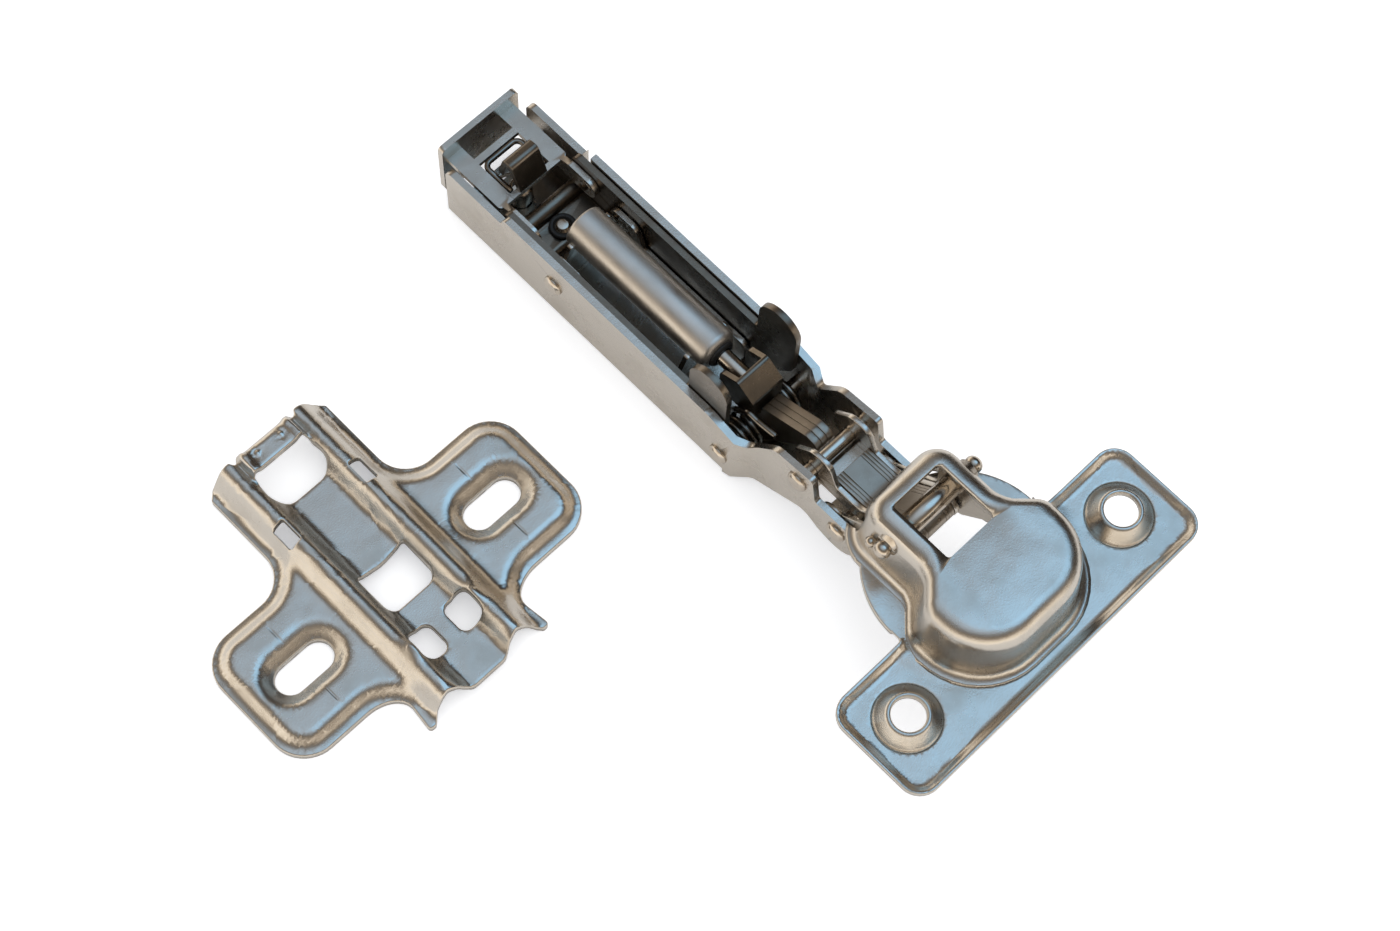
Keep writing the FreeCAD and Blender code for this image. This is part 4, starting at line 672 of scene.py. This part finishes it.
def white_table():
    """The white table, which keeps the soft shadows."""
    mesh = bmesh.new()
    bmesh.ops.create_grid(mesh, x_segments=1, y_segments=1, size=3.0)
    data = bpy.data.meshes.new("white_table")
    mesh.to_mesh(data)
    mesh.free()
    table = bpy.data.objects.new("white_table", data)
    bpy.context.scene.collection.objects.link(table)
    material, tree = new_material("matt_white_card")
    path = add(tree, "ShaderNodeLightPath")
    card = add(tree, "ShaderNodeBsdfDiffuse", Color=linear("#F4F4F4"))
    lift = add(tree, "ShaderNodeEmission", [("Strength", path.outputs["Is Camera Ray"])],
               Color=(0.38, 0.39, 0.41, 1))
    both = add(tree, "ShaderNodeAddShader", [(0, card.outputs["BSDF"]), (1, lift.outputs["Emission"])])
    add(tree, "ShaderNodeOutputMaterial", [("Surface", both.outputs["Shader"])])
    data.materials.append(material)


# What the metal mirrors, from the height of the horizon, 0, to straight above, 1
ROOM_LOW = (0.05, "#F2ECE2")
ROOM_TOP = (1.0, "#9FB4CA")
ROOM_BETWEEN = [
    (0.3, "#E2D9CB"), (0.45, "#857A6C"), (0.7, "#57524D"), (0.84, "#7B8188"), (0.93, "#97A5B5"),
]
SKY_DIRECTION = (0.15, 0.4, 0.905)


def world_light():
    """Even white light; the metal mirrors cream from the near side, a blue sky patch and a dark far side."""
    world = bpy.data.worlds.new("studio")
    bpy.context.scene.world = world
    world.use_nodes = True
    tree = world.node_tree
    tree.nodes.clear()
    direction = add(tree, "ShaderNodeTexCoord").outputs["Generated"]
    split = add(tree, "ShaderNodeSeparateXYZ", [("Vector", direction)])
    room = add(tree, "ShaderNodeValToRGB", [("Fac", split.outputs["Z"])])
    stops = room.color_ramp.elements
    for stop, (height, colour) in zip(stops, (ROOM_LOW, ROOM_TOP)):
        stop.position = height
        stop.color = linear(colour)
    for height, colour in ROOM_BETWEEN:
        stops.new(height).color = linear(colour)
    far = add(tree, "ShaderNodeMapRange", [("Value", split.outputs["Y"])], From_Min=0.38, From_Max=0.75)
    dark = add(tree, "ShaderNodeMix", [
        ("Factor", far.outputs["Result"]), ("A", room.outputs["Color"])],
        data_type="RGBA", B=linear("#2F2A26"))
    towards = add(tree, "ShaderNodeVectorMath", [(0, direction)], operation="DOT_PRODUCT")
    towards.inputs[1].default_value = SKY_DIRECTION
    patch = add(tree, "ShaderNodeMapRange", [("Value", towards.outputs["Value"])],
                From_Min=0.89, From_Max=0.975)
    sky = add(tree, "ShaderNodeMix", [
        ("Factor", patch.outputs["Result"]), ("A", dark.outputs["Result"])],
        data_type="RGBA", B=linear("#A4D2FA"))
    path = add(tree, "ShaderNodeLightPath")
    plain = add(tree, "ShaderNodeBackground", Color=(1, 1, 1, 1), Strength=0.9)
    mirrored_room = add(tree, "ShaderNodeBackground", [("Color", sky.outputs["Result"])], Strength=1.7)
    pick = add(tree, "ShaderNodeMixShader", [
        (0, path.outputs["Is Glossy Ray"]), (1, plain.outputs["Background"]),
        (2, mirrored_room.outputs["Background"])])
    add(tree, "ShaderNodeOutputWorld", [("Surface", pick.outputs["Shader"])])


def key_lamp():
    """A soft square lamp above the far side, which looks at the middle of the table."""
    light = bpy.data.lights.new("key", "AREA")
    light.size = 0.7
    light.energy = 1.0
    holder = bpy.data.objects.new("key", light)
    holder.location = (0.1, 0.25, 0.6)
    holder.rotation_euler = (-holder.location).to_track_quat("-Z", "Y").to_euler()
    holder.visible_glossy = False
    bpy.context.scene.collection.objects.link(holder)


def photo_camera():
    """The photograph's view, from above the arm's near side."""
    right = Vector((0.70019, 0.71308, 0.03541))
    up = Vector((-0.66905, 0.63802, 0.38118))
    back = Vector((0.24922, -0.29059, 0.92382))
    place = Vector((0.090193, -0.091004, 0.336553))
    camera = bpy.data.cameras.new("photo_view")
    camera.lens = 72
    camera.sensor_width = 36
    camera.clip_start = 0.01
    holder = bpy.data.objects.new("photo_view", camera)
    holder.matrix_world = Matrix.Translation(place) @ Matrix((right, up, back)).transposed().to_4x4()
    bpy.context.scene.collection.objects.link(holder)
    bpy.context.scene.camera = holder


for node_name, (finish, edge_width) in FINISHES.items():
    finish_node(node_name, finish, edge_width)
mounting_plate()
cup_flange()
cup_shell()
window_lugs()
upper_cup_pin()
white_table()
world_light()
key_lamp()
photo_camera()
bpy.context.scene.view_settings.view_transform = "Standard"
